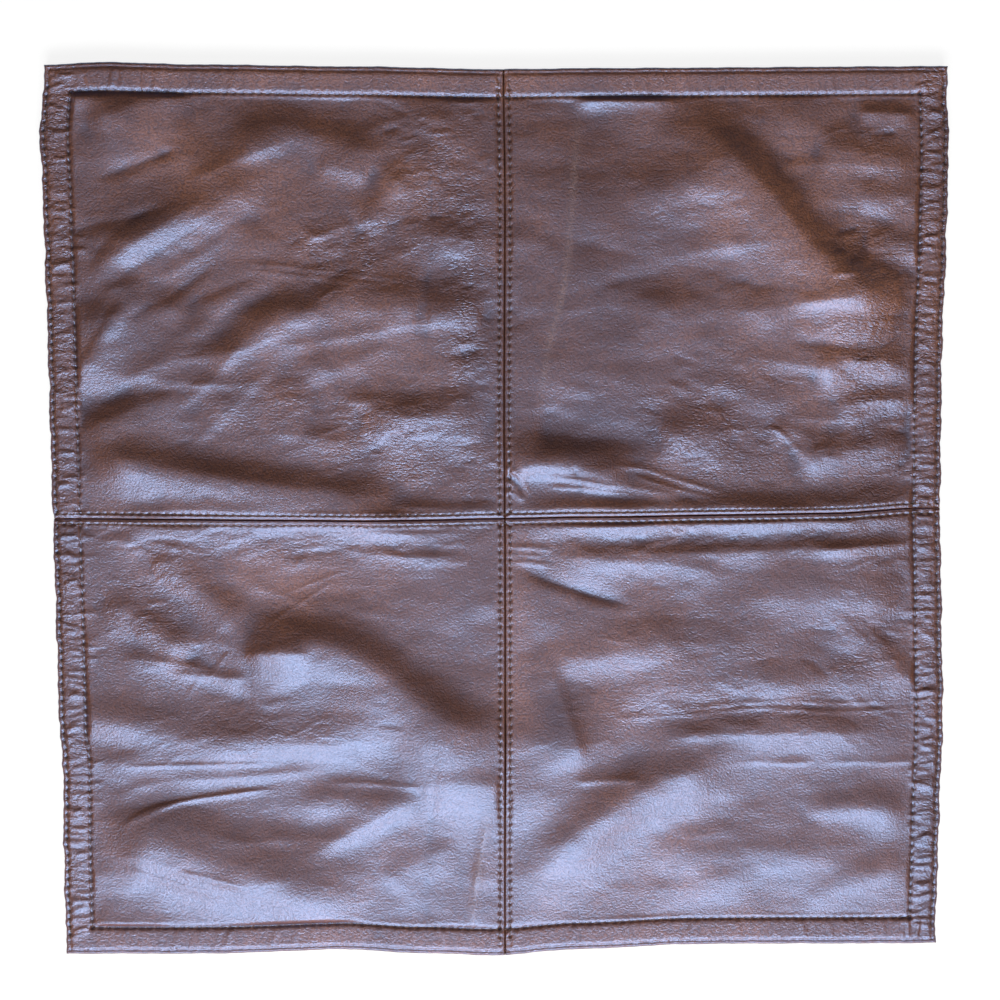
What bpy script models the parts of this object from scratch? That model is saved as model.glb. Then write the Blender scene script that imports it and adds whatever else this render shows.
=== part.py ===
"""A square desk mat of soft leather.

Four face panels meet in a cross of seams above a backing of two pieces. All edges are turned in, and
rows of thread hold the plies together. The mat lies flat: the backing rests on the plane z = 0, the
middle of the mat is on the Z axis, +Y is the far edge and lengths are in metres.
"""
import math

import bmesh
import bpy

# Overall size, leather and thread
MAT_WIDTH = 0.400
MAT_DEPTH = 0.400
FACE_LEATHER = 0.0009
BACKING_LEATHER = 0.0008
PLY_GAP = 0.0003
THREAD = 0.0005
THREAD_SEAT = 0.0001

# Seam lines and what is turned in along them
SHORT_SEAM_X = 0.0025
CROSS_SEAM_Y = 0.0
BACKING_SEAM_Y = -0.098
TURNED_HEM = 0.0095
SEAM_ALLOWANCE = 0.008

# Rows of stitching, measured from the start of the nearest fold or from the end of the hem
EDGE_ROW_FROM_FOLD = 0.00095
TOPSTITCH_FROM_FOLD = 0.00115
BORDER_ROW_FROM_HEM = 0.0027

# Relief of the face: the puffed border, the dip along its inner row and the slack field
BORDER_PUFF = 0.0005
BORDER_DIP = 0.0009
FIELD_RUN_IN = 0.010
SEAM_FADE = 0.010
CROWN_RUN = 0.025
PANEL_CROWN = 0.0018

# Relief of the backing: how far inside the border row and the seam it comes down to the table
BACKING_LEVEL_RUN = 0.002
BACKING_DROP_RUN = 0.004

# Main folds of the slack face leather: start, end, height and half width of each ridge
FACE_FOLDS = [
    {"start": (-0.186, 0.022), "end": (-0.020, 0.010), "height": 0.0026, "half_width": 0.014},
    {"start": (-0.160, 0.118), "end": (-0.100, 0.152), "height": 0.0024, "half_width": 0.018},
    {"start": (-0.120, 0.070), "end": (-0.045, 0.090), "height": 0.0016, "half_width": 0.016},
    {"start": (0.070, 0.165), "end": (0.165, 0.105), "height": 0.0024, "half_width": 0.018},
    {"start": (0.020, 0.018), "end": (0.080, 0.022), "height": 0.0020, "half_width": 0.014},
    {"start": (-0.110, -0.055), "end": (-0.020, -0.078), "height": 0.0022, "half_width": 0.016},
    {"start": (-0.175, -0.122), "end": (-0.030, -0.114), "height": 0.0018, "half_width": 0.014},
    {"start": (-0.160, -0.170), "end": (-0.070, -0.182), "height": 0.0018, "half_width": 0.016},
    {"start": (0.030, -0.060), "end": (0.100, -0.072), "height": 0.0020, "half_width": 0.016},
    {"start": (0.040, -0.150), "end": (0.110, -0.132), "height": 0.0022, "half_width": 0.018},
    {"start": (0.100, -0.112), "end": (0.175, -0.114), "height": 0.0016, "half_width": 0.014},
]

# Mesh fineness
FACE_CELLS = 14
BACKING_CELLS = 4
FOLD_STEPS = 4
SHARP_ANGLE = math.radians(40)

# Sizes that follow from those above
THREAD_RADIUS = THREAD / 2
ROW_CLEARANCE = THREAD + THREAD_SEAT
FACE_FOLD_RADIUS = FACE_LEATHER + PLY_GAP / 2
BACKING_FOLD_RADIUS = BACKING_LEATHER + PLY_GAP / 2


def groove_half_gap(fold_radius):
    """Half the gap that two facing folds need so that one thread lies flush in their groove."""
    reach = fold_radius + THREAD_RADIUS + THREAD_SEAT
    drop = fold_radius - THREAD_RADIUS
    return math.sqrt(reach ** 2 - drop ** 2) - fold_radius


FACE_SEAM_GAP = groove_half_gap(FACE_FOLD_RADIUS)
BACKING_SEAM_GAP = groove_half_gap(BACKING_FOLD_RADIUS)
EDGE_GROOVE_GAP = max(FACE_SEAM_GAP, BACKING_SEAM_GAP)

EDGE_ROW = FACE_FOLD_RADIUS + EDGE_ROW_FROM_FOLD
BORDER_ROW = TURNED_HEM + BORDER_ROW_FROM_HEM
TOPSTITCH_ROW = FACE_SEAM_GAP + FACE_FOLD_RADIUS + TOPSTITCH_FROM_FOLD

# Heights of the middle of each ply in the border, from the table up
UNDER_CLEARANCE = THREAD + 2 * THREAD_SEAT
BACKING_FIELD_Z = BACKING_LEATHER / 2
BACKING_SHEET_Z = UNDER_CLEARANCE + BACKING_LEATHER / 2
BACKING_HEM_Z = BACKING_SHEET_Z + BACKING_LEATHER + PLY_GAP
BACKING_TOP_Z = BACKING_HEM_Z + BACKING_LEATHER / 2
FACE_UNDER_Z = BACKING_TOP_Z + 2 * EDGE_GROOVE_GAP
FACE_HEM_Z = FACE_UNDER_Z + FACE_LEATHER / 2
FACE_SHEET_Z = FACE_HEM_Z + FACE_LEATHER + PLY_GAP

# Heights of the middle of each thread
FACE_ROW_Z = FACE_SHEET_Z + FACE_LEATHER / 2 + THREAD_SEAT + THREAD_RADIUS
UNDER_ROW_Z = UNDER_CLEARANCE - THREAD_SEAT - THREAD_RADIUS
FACE_SEAM_THREAD_Z = FACE_UNDER_Z + THREAD_RADIUS
BACKING_SEAM_THREAD_Z = BACKING_TOP_Z - THREAD_RADIUS
CLOSING_THREAD_Z = BACKING_TOP_Z + EDGE_GROOVE_GAP
CROSSING_Z = FACE_ROW_Z + ROW_CLEARANCE

WEST = -MAT_WIDTH / 2
EAST = MAT_WIDTH / 2
SOUTH = -MAT_DEPTH / 2
NORTH = MAT_DEPTH / 2


def clear_scene():
    """Remove everything that is in the scene."""
    for scene_object in list(bpy.data.objects):
        bpy.data.objects.remove(scene_object, do_unlink=True)


def make_material(name, colour, roughness):
    """A Principled material of one colour."""
    material = bpy.data.materials.new(name)
    material.use_nodes = True
    shader = material.node_tree.nodes["Principled BSDF"]
    shader.inputs["Base Color"].default_value = (*colour, 1.0)
    shader.inputs["Roughness"].default_value = roughness
    shader.inputs["Metallic"].default_value = 0.0
    return material


def smooth(share):
    """Ease from 0 to 1 with level ends."""
    share = min(max(share, 0.0), 1.0)
    return share * share * (3 - 2 * share)


def between(low, high, share):
    """The value at a share of the way from low to high."""
    return low + (high - low) * share


class Panel:
    """A rectangle of leather between four finished lines, each an outer edge or a seam."""

    def __init__(self, name, west, east, south, north, seams):
        self.name = name
        self.lines = {"west": west, "east": east, "south": south, "north": north}
        self.seams = seams

    def ring_box(self, ring):
        """West, east, south and north of one ring, from its distances to an edge and to a seam."""
        inset = {side: ring["seam" if side in self.seams else "edge"] for side in self.lines}
        return (
            self.lines["west"] + inset["west"],
            self.lines["east"] - inset["east"],
            self.lines["south"] + inset["south"],
            self.lines["north"] - inset["north"],
        )

    def ring_point(self, ring, place, cells):
        """Plan position of one point of a ring, counted anticlockwise from its south-west corner."""
        west, east, south, north = self.ring_box(ring)
        side, step = divmod(place % (4 * cells), cells)
        share = step / cells
        starts = [(west, south), (east, south), (east, north), (west, north)]
        start = starts[side]
        end = starts[(side + 1) % 4]
        return between(start[0], end[0], share), between(start[1], end[1], share)

    def distances(self, x, y):
        """Distance from a point to the nearest outer edge and to the nearest seam."""
        reach = {
            "west": x - self.lines["west"],
            "east": self.lines["east"] - x,
            "south": y - self.lines["south"],
            "north": self.lines["north"] - y,
        }
        to_edge = min(reach[side] for side in reach if side not in self.seams)
        to_seam = min(reach[side] for side in reach if side in self.seams)
        return to_edge, to_seam


def fold_rings(radius, middle_radius, seam_gap, sheet_z, hem_z):
    """Rings round the half turn of a folded edge, then along the turned-in leather to its raw end."""
    middle_z = (sheet_z + hem_z) / 2
    rings = []
    for step in range(FOLD_STEPS + 1):
        turn = math.pi * step / FOLD_STEPS
        inset = radius - middle_radius * math.sin(turn)
        height = middle_z + (sheet_z - middle_z) * math.cos(turn)
        rings.append({"edge": inset, "seam": seam_gap + inset, "z": height})
    rings.append({"edge": TURNED_HEM, "seam": SEAM_ALLOWANCE, "z": hem_z})
    return rings


def ridge(fold, x, y):
    """Height of one fold of the slack leather above a point."""
    start_x, start_y = fold["start"]
    end_x, end_y = fold["end"]
    run_x = end_x - start_x
    run_y = end_y - start_y
    share = ((x - start_x) * run_x + (y - start_y) * run_y) / (run_x ** 2 + run_y ** 2)
    share = min(max(share, 0.0), 1.0)
    distance = math.hypot(x - start_x - share * run_x, y - start_y - share * run_y)
    return fold["height"] * math.exp(-(distance / fold["half_width"]) ** 2)


HEM_END = TURNED_HEM + BORDER_ROW_FROM_HEM / 4
FIELD_FROM_EDGE = BORDER_ROW + FIELD_RUN_IN
FIELD_FROM_SEAM = TOPSTITCH_ROW + FIELD_RUN_IN


def face_height(panel, x, y):
    """Height of the middle of the face leather above its level along the stitched edges."""
    to_edge, to_seam = panel.distances(x, y)
    away_from_seam = smooth((to_seam - SEAM_ALLOWANCE) / SEAM_FADE)
    height = 0.0
    if EDGE_ROW < to_edge < HEM_END:
        across = (to_edge - EDGE_ROW) / (HEM_END - EDGE_ROW)
        height += BORDER_PUFF * away_from_seam * math.sin(math.pi * across)
    if to_edge > BORDER_ROW:
        height -= BORDER_DIP * away_from_seam * (1 - smooth((to_edge - BORDER_ROW) / FIELD_RUN_IN))
    elif to_edge > HEM_END:
        height -= BORDER_DIP * away_from_seam * (to_edge - HEM_END) / (BORDER_ROW - HEM_END)
    inside = smooth((to_edge - BORDER_ROW) / CROWN_RUN) * smooth((to_seam - TOPSTITCH_ROW) / CROWN_RUN)
    slack = PANEL_CROWN + sum(ridge(fold, x, y) for fold in FACE_FOLDS)
    return height + inside * slack


def sheet_ring(edge, seam):
    """A ring of the sheet itself, whose height is worked out point by point."""
    return {"edge": edge, "seam": seam, "z": None}


def face_rings():
    """Rings of a face panel, from the rim of its field out to the raw end of its turned hem."""
    border_middle = (EDGE_ROW + HEM_END) / 2
    rings = [sheet_ring(FIELD_FROM_EDGE, FIELD_FROM_SEAM)]
    rings.append(sheet_ring(BORDER_ROW, between(TOPSTITCH_ROW, FIELD_FROM_SEAM, 0.55)))
    rings.append(sheet_ring(HEM_END, between(TOPSTITCH_ROW, FIELD_FROM_SEAM, 0.30)))
    rings.append(sheet_ring(border_middle, between(TOPSTITCH_ROW, FIELD_FROM_SEAM, 0.15)))
    rings.append(sheet_ring(EDGE_ROW, TOPSTITCH_ROW))
    middle_radius = (FACE_LEATHER + PLY_GAP) / 2
    return rings + fold_rings(FACE_FOLD_RADIUS, middle_radius, FACE_SEAM_GAP, FACE_SHEET_Z, FACE_HEM_Z)


def backing_rings():
    """Rings of a backing piece: level field, raised margin, fold and turned hem."""
    level_from_edge = BORDER_ROW + BACKING_LEVEL_RUN
    level_from_seam = BACKING_SEAM_GAP + BACKING_FOLD_RADIUS + BACKING_LEVEL_RUN
    rings = [
        {
            "edge": level_from_edge + BACKING_DROP_RUN,
            "seam": level_from_seam + BACKING_DROP_RUN,
            "z": BACKING_FIELD_Z,
        },
        {"edge": level_from_edge, "seam": level_from_seam, "z": BACKING_SHEET_Z},
    ]
    middle_radius = (BACKING_LEATHER + PLY_GAP) / 2
    return rings + fold_rings(
        BACKING_FOLD_RADIUS, middle_radius, BACKING_SEAM_GAP, BACKING_SHEET_Z, BACKING_HEM_Z
    )


def add_to_mat(name, data, material):
    """Put one finished piece in the mat's collection, under its empty."""
    piece = bpy.data.objects.new(name, data)
    piece.data.materials.append(material)
    mat_collection.objects.link(piece)
    piece.parent = mat_empty
    return piece


def build_sheet(panel, rings, cells, height_at, thickness, material):
    """Model a panel from a flat grid whose rim is drawn out ring by ring, then give it thickness."""
    mesh = bpy.data.meshes.new(panel.name)
    sheet = bmesh.new()
    bmesh.ops.create_grid(sheet, x_segments=cells, y_segments=cells, size=1.0)
    west, east, south, north = panel.ring_box(rings[0])
    rim = {}
    for vert in sheet.verts:
        column = round((vert.co.x + 1) / 2 * cells)
        row = round((vert.co.y + 1) / 2 * cells)
        x = between(west, east, column / cells)
        y = between(south, north, row / cells)
        vert.co = (x, y, height_at(panel, rings[0], x, y))
        if row == 0:
            rim[vert] = column
        elif column == cells:
            rim[vert] = cells + row
        elif row == cells:
            rim[vert] = 3 * cells - column
        elif column == 0:
            rim[vert] = 4 * cells - row
    for ring in rings[1:]:
        open_edges = [edge for edge in sheet.edges if edge.is_boundary]
        drawn = bmesh.ops.extrude_edge_only(sheet, edges=open_edges)["geom"]
        next_rim = {}
        for vert in (item for item in drawn if isinstance(item, bmesh.types.BMVert)):
            neighbours = [edge.other_vert(vert) for edge in vert.link_edges]
            source = next(other for other in neighbours if other in rim)
            place = rim[source]
            x, y = panel.ring_point(ring, place, cells)
            vert.co = (x, y, height_at(panel, ring, x, y))
            next_rim[vert] = place
        rim = next_rim
    bmesh.ops.recalc_face_normals(sheet, faces=sheet.faces)
    sheet.to_mesh(mesh)
    sheet.free()
    mesh.shade_smooth()
    mesh.set_sharp_from_angle(angle=SHARP_ANGLE)
    piece = add_to_mat(panel.name, mesh, material)
    leather = piece.modifiers.new("Leather", "SOLIDIFY")
    leather.thickness = thickness
    leather.offset = 0.0
    leather.use_even_offset = True
    return piece


def face_point_z(panel, ring, x, y):
    """Height of a face panel's point: fixed round the fold, otherwise from the relief."""
    if ring["z"] is not None:
        return ring["z"]
    return FACE_SHEET_Z + face_height(panel, x, y)


def backing_point_z(panel, ring, x, y):
    """Height of a backing point: the same all along its ring."""
    return ring["z"]


def build_thread(name, points, closed=False):
    """One continuous strand of thread through the given points."""
    curve = bpy.data.curves.new(name, "CURVE")
    curve.dimensions = "3D"
    curve.twist_mode = "Z_UP"
    curve.bevel_depth = THREAD_RADIUS
    curve.bevel_resolution = 2
    curve.use_fill_caps = True
    strand = curve.splines.new("POLY")
    strand.points.add(len(points) - 1)
    for point, position in zip(strand.points, points):
        point.co = (*position, 1.0)
    strand.use_cyclic_u = closed
    return add_to_mat(name, curve, thread_material)


def rectangle_path(inset, height):
    """The four corners of a row that runs right round the mat."""
    return [
        (WEST + inset, SOUTH + inset, height),
        (EAST - inset, SOUTH + inset, height),
        (EAST - inset, NORTH - inset, height),
        (WEST + inset, NORTH - inset, height),
    ]


def border_row_path(panels):
    """The border row on the face: down in the dip, and over the topstitching where it meets a seam."""
    border_ring = face_rings()[1]
    steepest = math.atan(BORDER_DIP / (BORDER_ROW - HEM_END))
    lift = (FACE_LEATHER / 2 + THREAD_SEAT + THREAD_RADIUS) / math.cos(steepest)
    runs = []
    for quarter, panel in enumerate(panels):
        first = (3 + quarter) * FACE_CELLS
        run = []
        for place in range(first, first + 2 * FACE_CELLS + 1):
            x, y = panel.ring_point(border_ring, place, FACE_CELLS)
            run.append((x, y, face_point_z(panel, border_ring, x, y) + lift))
        runs.append(run)
    path = []
    for quarter, run in enumerate(runs):
        last = run[-1]
        following = runs[(quarter + 1) % len(runs)][0]
        middle = [(a + b) / 2 for a, b in zip(last, following)]
        share = (TOPSTITCH_ROW + ROW_CLEARANCE) / math.dist(middle[:2], last[:2])
        path.extend(run)
        for end in (last, following):
            path.append((between(middle[0], end[0], share), between(middle[1], end[1], share), CROSSING_Z))
    return path


clear_scene()
mat_collection = bpy.data.collections.new("desk_mat")
bpy.context.scene.collection.children.link(mat_collection)
mat_empty = bpy.data.objects.new("desk_mat_origin", None)
mat_collection.objects.link(mat_empty)

face_material = make_material("face_leather", (0.155, 0.062, 0.036), 0.42)
backing_material = make_material("backing_leather", (0.130, 0.058, 0.036), 0.60)
thread_material = make_material("thread", (0.120, 0.050, 0.032), 0.55)

# Face panels, anticlockwise from the near left one
face_panels = [
    Panel("face_panel_near_left", WEST, SHORT_SEAM_X, SOUTH, CROSS_SEAM_Y, ("east", "north")),
    Panel("face_panel_near_right", SHORT_SEAM_X, EAST, SOUTH, CROSS_SEAM_Y, ("west", "north")),
    Panel("face_panel_rear_right", SHORT_SEAM_X, EAST, CROSS_SEAM_Y, NORTH, ("west", "south")),
    Panel("face_panel_rear_left", WEST, SHORT_SEAM_X, CROSS_SEAM_Y, NORTH, ("east", "south")),
]
for face_panel in face_panels:
    build_sheet(face_panel, face_rings(), FACE_CELLS, face_point_z, FACE_LEATHER, face_material)

# Backing pieces
backing_panels = [
    Panel("backing_near", WEST, EAST, SOUTH, BACKING_SEAM_Y, ("north",)),
    Panel("backing_rear", WEST, EAST, BACKING_SEAM_Y, NORTH, ("south",)),
]
for backing_panel in backing_panels:
    build_sheet(
        backing_panel, backing_rings(), BACKING_CELLS, backing_point_z, BACKING_LEATHER, backing_material
    )

# Seam threads inside the seams, and the closing seam in the groove of the edge
north_end = NORTH - FACE_FOLD_RADIUS
south_end = SOUTH + FACE_FOLD_RADIUS
build_thread("seam_thread_cross", [
    (WEST + FACE_FOLD_RADIUS, CROSS_SEAM_Y, FACE_SEAM_THREAD_Z),
    (EAST - FACE_FOLD_RADIUS, CROSS_SEAM_Y, FACE_SEAM_THREAD_Z),
])
build_thread("seam_thread_rear", [
    (SHORT_SEAM_X, CROSS_SEAM_Y + ROW_CLEARANCE, FACE_SEAM_THREAD_Z),
    (SHORT_SEAM_X, north_end, FACE_SEAM_THREAD_Z),
])
build_thread("seam_thread_near", [
    (SHORT_SEAM_X, south_end, FACE_SEAM_THREAD_Z),
    (SHORT_SEAM_X, CROSS_SEAM_Y - ROW_CLEARANCE, FACE_SEAM_THREAD_Z),
])
build_thread("seam_thread_backing", [
    (WEST + BACKING_FOLD_RADIUS, BACKING_SEAM_Y, BACKING_SEAM_THREAD_Z),
    (EAST - BACKING_FOLD_RADIUS, BACKING_SEAM_Y, BACKING_SEAM_THREAD_Z),
])
build_thread("closing_seam_thread", rectangle_path(THREAD_RADIUS, CLOSING_THREAD_Z), closed=True)

# Topstitching beside the seams
row_end = EDGE_ROW + ROW_CLEARANCE
row_start = TOPSTITCH_ROW + ROW_CLEARANCE
for side, way in (("rear", 1), ("near", -1)):
    row_y = CROSS_SEAM_Y + way * TOPSTITCH_ROW
    build_thread(f"topstitch_cross_{side}", [
        (WEST + row_end, row_y, FACE_ROW_Z),
        (EAST - row_end, row_y, FACE_ROW_Z),
    ])
    outer_y = way * (MAT_DEPTH / 2 - row_end)
    inner_y = CROSS_SEAM_Y + way * row_start
    for hand, offset in (("left", -TOPSTITCH_ROW), ("right", TOPSTITCH_ROW)):
        build_thread(f"topstitch_{side}_{hand}", [
            (SHORT_SEAM_X + offset, inner_y, FACE_ROW_Z),
            (SHORT_SEAM_X + offset, outer_y, FACE_ROW_Z),
        ])

# The two rows of the border, needle thread above and bobbin thread below
build_thread("edge_row_face", rectangle_path(EDGE_ROW, FACE_ROW_Z), closed=True)
build_thread("edge_row_under", rectangle_path(EDGE_ROW, UNDER_ROW_Z), closed=True)
build_thread("border_row_face", border_row_path(face_panels), closed=True)
build_thread("border_row_under", rectangle_path(BORDER_ROW, UNDER_ROW_Z), closed=True)
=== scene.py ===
# %% [markdown]
# # A leather desk mat in Blender
#
# The object is a soft square of brown leather: four panels sewn in a cross, with the outer edges turned
# under and stitched down all round, and a thinner leather backing in two pieces. It is laid flat and seen
# from almost straight above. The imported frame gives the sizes, and this lesson dresses it: rumpled leather
# panels with real folds, a backing, and every row of stitches.

import math

import bpy
import numpy as np
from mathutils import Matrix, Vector


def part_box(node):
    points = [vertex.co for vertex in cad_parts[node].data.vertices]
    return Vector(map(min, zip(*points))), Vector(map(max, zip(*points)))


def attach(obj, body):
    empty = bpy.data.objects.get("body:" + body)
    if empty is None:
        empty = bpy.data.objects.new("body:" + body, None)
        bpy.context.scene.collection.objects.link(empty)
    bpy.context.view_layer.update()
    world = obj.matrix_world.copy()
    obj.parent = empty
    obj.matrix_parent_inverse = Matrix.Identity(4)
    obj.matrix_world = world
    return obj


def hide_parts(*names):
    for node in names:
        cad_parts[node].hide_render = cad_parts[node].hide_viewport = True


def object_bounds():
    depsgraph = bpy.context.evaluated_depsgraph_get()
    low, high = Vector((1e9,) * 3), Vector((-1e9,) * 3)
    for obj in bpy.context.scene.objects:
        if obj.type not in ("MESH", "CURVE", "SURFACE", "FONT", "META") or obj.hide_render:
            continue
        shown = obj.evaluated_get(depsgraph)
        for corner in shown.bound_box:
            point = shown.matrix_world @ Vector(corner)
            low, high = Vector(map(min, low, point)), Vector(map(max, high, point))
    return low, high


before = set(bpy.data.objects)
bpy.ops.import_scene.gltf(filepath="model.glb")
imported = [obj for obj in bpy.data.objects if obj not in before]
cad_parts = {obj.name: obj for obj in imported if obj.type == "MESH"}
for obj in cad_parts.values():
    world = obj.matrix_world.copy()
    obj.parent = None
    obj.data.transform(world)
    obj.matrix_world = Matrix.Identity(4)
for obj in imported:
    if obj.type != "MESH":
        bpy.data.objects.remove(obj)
CAD_LOW, CAD_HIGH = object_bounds()
MM = 0.001
SCENE = bpy.context.scene
print("CAD box in mm:", [round(side / MM, 1) for side in CAD_HIGH - CAD_LOW])

# %% [markdown]
# ## The camera
#
# The photograph was taken from about a metre above the mat, from a little beyond its middle, so the far edge
# looks slightly wider than the near one. A camera has to stand where the photographer stood before anything
# else can be compared. It could be moved by eye, but a place and a turn that are fitted to the four corners
# and the ends of the seams let every fold be set beside its photograph.

# %% Camera
CAMERA_PLACE = (-0.0330, 0.1038, 0.9994)
CAMERA_TURN = (-5.54, -1.91, -0.28)
CAMERA_LENS = 80.0
CAMERA_SENSOR = 36.0

camera_data = bpy.data.cameras.new("photo_camera")
camera_data.lens = CAMERA_LENS
camera_data.sensor_width = CAMERA_SENSOR
camera = bpy.data.objects.new("photo_camera", camera_data)
camera.location = CAMERA_PLACE
camera.rotation_euler = [math.radians(angle) for angle in CAMERA_TURN]
SCENE.collection.objects.link(camera)
SCENE.camera = camera
print("camera height in m:", CAMERA_PLACE[2])

# %% [markdown]
# ## Light and floor
#
# Leather shows its folds by its gloss. In the photograph a wide soft light stands beyond the near edge, so
# every slope that faces the near edge shines and every slope that faces away stays dark brown. An image of a
# room could light it, but a few softboxes are easier to aim: a large key on the near side with a brighter
# heart, a dim ceiling above the middle and a weak strip above each side border. A dim even world fills the
# rest. It is white for the camera only, because glossy leather would mirror a white sky. The floor is white
# partly by a glow of its own, and partly by paint, so that it keeps the shadow of the mat.

# %% Lamps
KEY_PLACE = (0.0, -1.02, 0.88)
KEY_SIZE = (2.0, 0.96)
KEY_POWER = 14.0
HEART_NEARNESS = 0.98
HEART_SIZE = (1.3, 0.36)
HEART_POWER = 9.6
CEILING_PLACE = (0.0, 0.04, 1.30)
CEILING_SIZE = (2.0, 0.54)
CEILING_POWER = 1.40
STRIP_PLACES = [(-0.46, -0.13, 1.30), (0.52, -0.13, 1.30)]
STRIP_TURN = (0.0, 0.0, 0.0)
STRIP_SIZE = (0.20, 0.95)
STRIP_POWER = 0.46
WORLD_FILL = 0.035


def softbox(name, place, size, power):
    """A rectangular area lamp that looks at the middle of the mat."""
    lamp = bpy.data.lights.new(name, "AREA")
    lamp.shape = "RECTANGLE"
    lamp.size, lamp.size_y = size
    lamp.energy = power
    holder = bpy.data.objects.new(name, lamp)
    holder.location = place
    holder.rotation_euler = (-Vector(place)).to_track_quat("-Z", "Y").to_euler()
    SCENE.collection.objects.link(holder)
    return holder


softbox("key_softbox", KEY_PLACE, KEY_SIZE, KEY_POWER)
softbox("key_heart", [HEART_NEARNESS * side for side in KEY_PLACE], HEART_SIZE, HEART_POWER)
softbox("ceiling_softbox", CEILING_PLACE, CEILING_SIZE, CEILING_POWER)
for side_name, strip_place in zip(("left", "right"), STRIP_PLACES):
    strip = softbox("strip_" + side_name, strip_place, STRIP_SIZE, STRIP_POWER)
    strip.rotation_euler = STRIP_TURN
SCENE.view_settings.view_transform = "Standard"
print("key, heart and ceiling in W:", KEY_POWER, HEART_POWER, CEILING_POWER)

# %% World
WHITE = (1.0, 1.0, 1.0, 1.0)


def new_node(tree, kind, **settings):
    """Add one node to a tree and set its own options."""
    node = tree.nodes.new(kind)
    for name, value in settings.items():
        setattr(node, name, value)
    return node


world = bpy.data.worlds.new("studio_world")
SCENE.world = world
world.use_nodes = True
world_tree = world.node_tree
world_tree.nodes.clear()
world_output = new_node(world_tree, "ShaderNodeOutputWorld")
fill = new_node(world_tree, "ShaderNodeBackground")
fill.inputs["Color"].default_value = WHITE
fill.inputs["Strength"].default_value = WORLD_FILL
backdrop = new_node(world_tree, "ShaderNodeBackground")
backdrop.inputs["Color"].default_value = WHITE
world_mix = new_node(world_tree, "ShaderNodeMixShader")
world_rays = new_node(world_tree, "ShaderNodeLightPath")
world_tree.links.new(world_rays.outputs["Is Camera Ray"], world_mix.inputs["Fac"])
world_tree.links.new(fill.outputs["Background"], world_mix.inputs[1])
world_tree.links.new(backdrop.outputs["Background"], world_mix.inputs[2])
world_tree.links.new(world_mix.outputs["Shader"], world_output.inputs["Surface"])
print("world fill:", WORLD_FILL)

# %% Floor
FLOOR_SIZE = 6.0
FLOOR_GLOW = 0.86
FLOOR_PAINT = (0.27, 0.27, 0.27, 1.0)
FLOOR_GAP = 0.2


def seen_directly(tree):
    """One for what the camera, a mirror or a clear surface shows, and zero for light that bounces on."""
    path = new_node(tree, "ShaderNodeLightPath")
    total = path.outputs["Is Camera Ray"]
    for ray in ("Is Glossy Ray", "Is Transmission Ray"):
        either = new_node(tree, "ShaderNodeMath", operation="MAXIMUM")
        tree.links.new(total, either.inputs[0])
        tree.links.new(path.outputs[ray], either.inputs[1])
        total = either.outputs["Value"]
    return total


floor_finish = bpy.data.materials.new("floor_white")
floor_finish.use_nodes = True
floor_tree = floor_finish.node_tree
floor_tree.nodes.clear()
floor_output = new_node(floor_tree, "ShaderNodeOutputMaterial")
floor_paint = new_node(floor_tree, "ShaderNodeBsdfDiffuse")
floor_paint.inputs["Color"].default_value = FLOOR_PAINT
floor_glow = new_node(floor_tree, "ShaderNodeEmission")
floor_level = new_node(floor_tree, "ShaderNodeMath", operation="MULTIPLY")
floor_level.inputs[1].default_value = FLOOR_GLOW
floor_sum = new_node(floor_tree, "ShaderNodeAddShader")
floor_tree.links.new(seen_directly(floor_tree), floor_level.inputs[0])
floor_tree.links.new(floor_level.outputs["Value"], floor_glow.inputs["Strength"])
floor_tree.links.new(floor_paint.outputs["BSDF"], floor_sum.inputs[0])
floor_tree.links.new(floor_glow.outputs["Emission"], floor_sum.inputs[1])
floor_tree.links.new(floor_sum.outputs["Shader"], floor_output.inputs["Surface"])

floor_mesh = bpy.data.meshes.new("floor")
floor_corner = FLOOR_SIZE / 2
floor_height = CAD_LOW.z - FLOOR_GAP * MM
floor_mesh.from_pydata(
    [(x, y, floor_height) for x, y in ((-floor_corner, -floor_corner), (floor_corner, -floor_corner),
                                       (floor_corner, floor_corner), (-floor_corner, floor_corner))],
    [], [(0, 1, 2, 3)])
floor_mesh.materials.append(floor_finish)
floor = bpy.data.objects.new("floor", floor_mesh)
SCENE.collection.objects.link(floor)
print("floor height in mm:", round(floor_height / MM, 2))

# %% [markdown]
# ## Sizes from the frame
#
# The CAD model already holds the real sizes: where the seams run, how far in each row of stitches lies and
# how thick the stack is. They could be typed again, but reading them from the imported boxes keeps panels,
# rows and seams where the CAD model has them. Only the thickness of the leather and the width of what is
# turned in can't be read from a box, so those are written out. From here on, sizes are in millimetres
# until a mesh is made.

# %% Seams, rows and levels
FACE_PANELS = ("face_panel_near_left", "face_panel_near_right",
               "face_panel_rear_left", "face_panel_rear_right")
FACE_LEATHER = 0.9
BACKING_LEATHER = 0.8
ROW_SINK = 0.1


def box_mm(node):
    """Lowest and highest corner of a CAD node, in millimetres."""
    low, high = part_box(node)
    return np.array(low) / MM, np.array(high) / MM


def middle_mm(node):
    """Centre of a CAD node's box, in millimetres."""
    low, high = box_mm(node)
    return (low + high) / 2


near_left_low, near_left_high = box_mm("face_panel_near_left")
rear_right_low, rear_right_high = box_mm("face_panel_rear_right")
_, backing_near_high = box_mm("backing_near")
backing_rear_low, _ = box_mm("backing_rear")
edge_low, edge_high = box_mm("edge_row_face")
_, border_high = box_mm("border_row_face")

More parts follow.
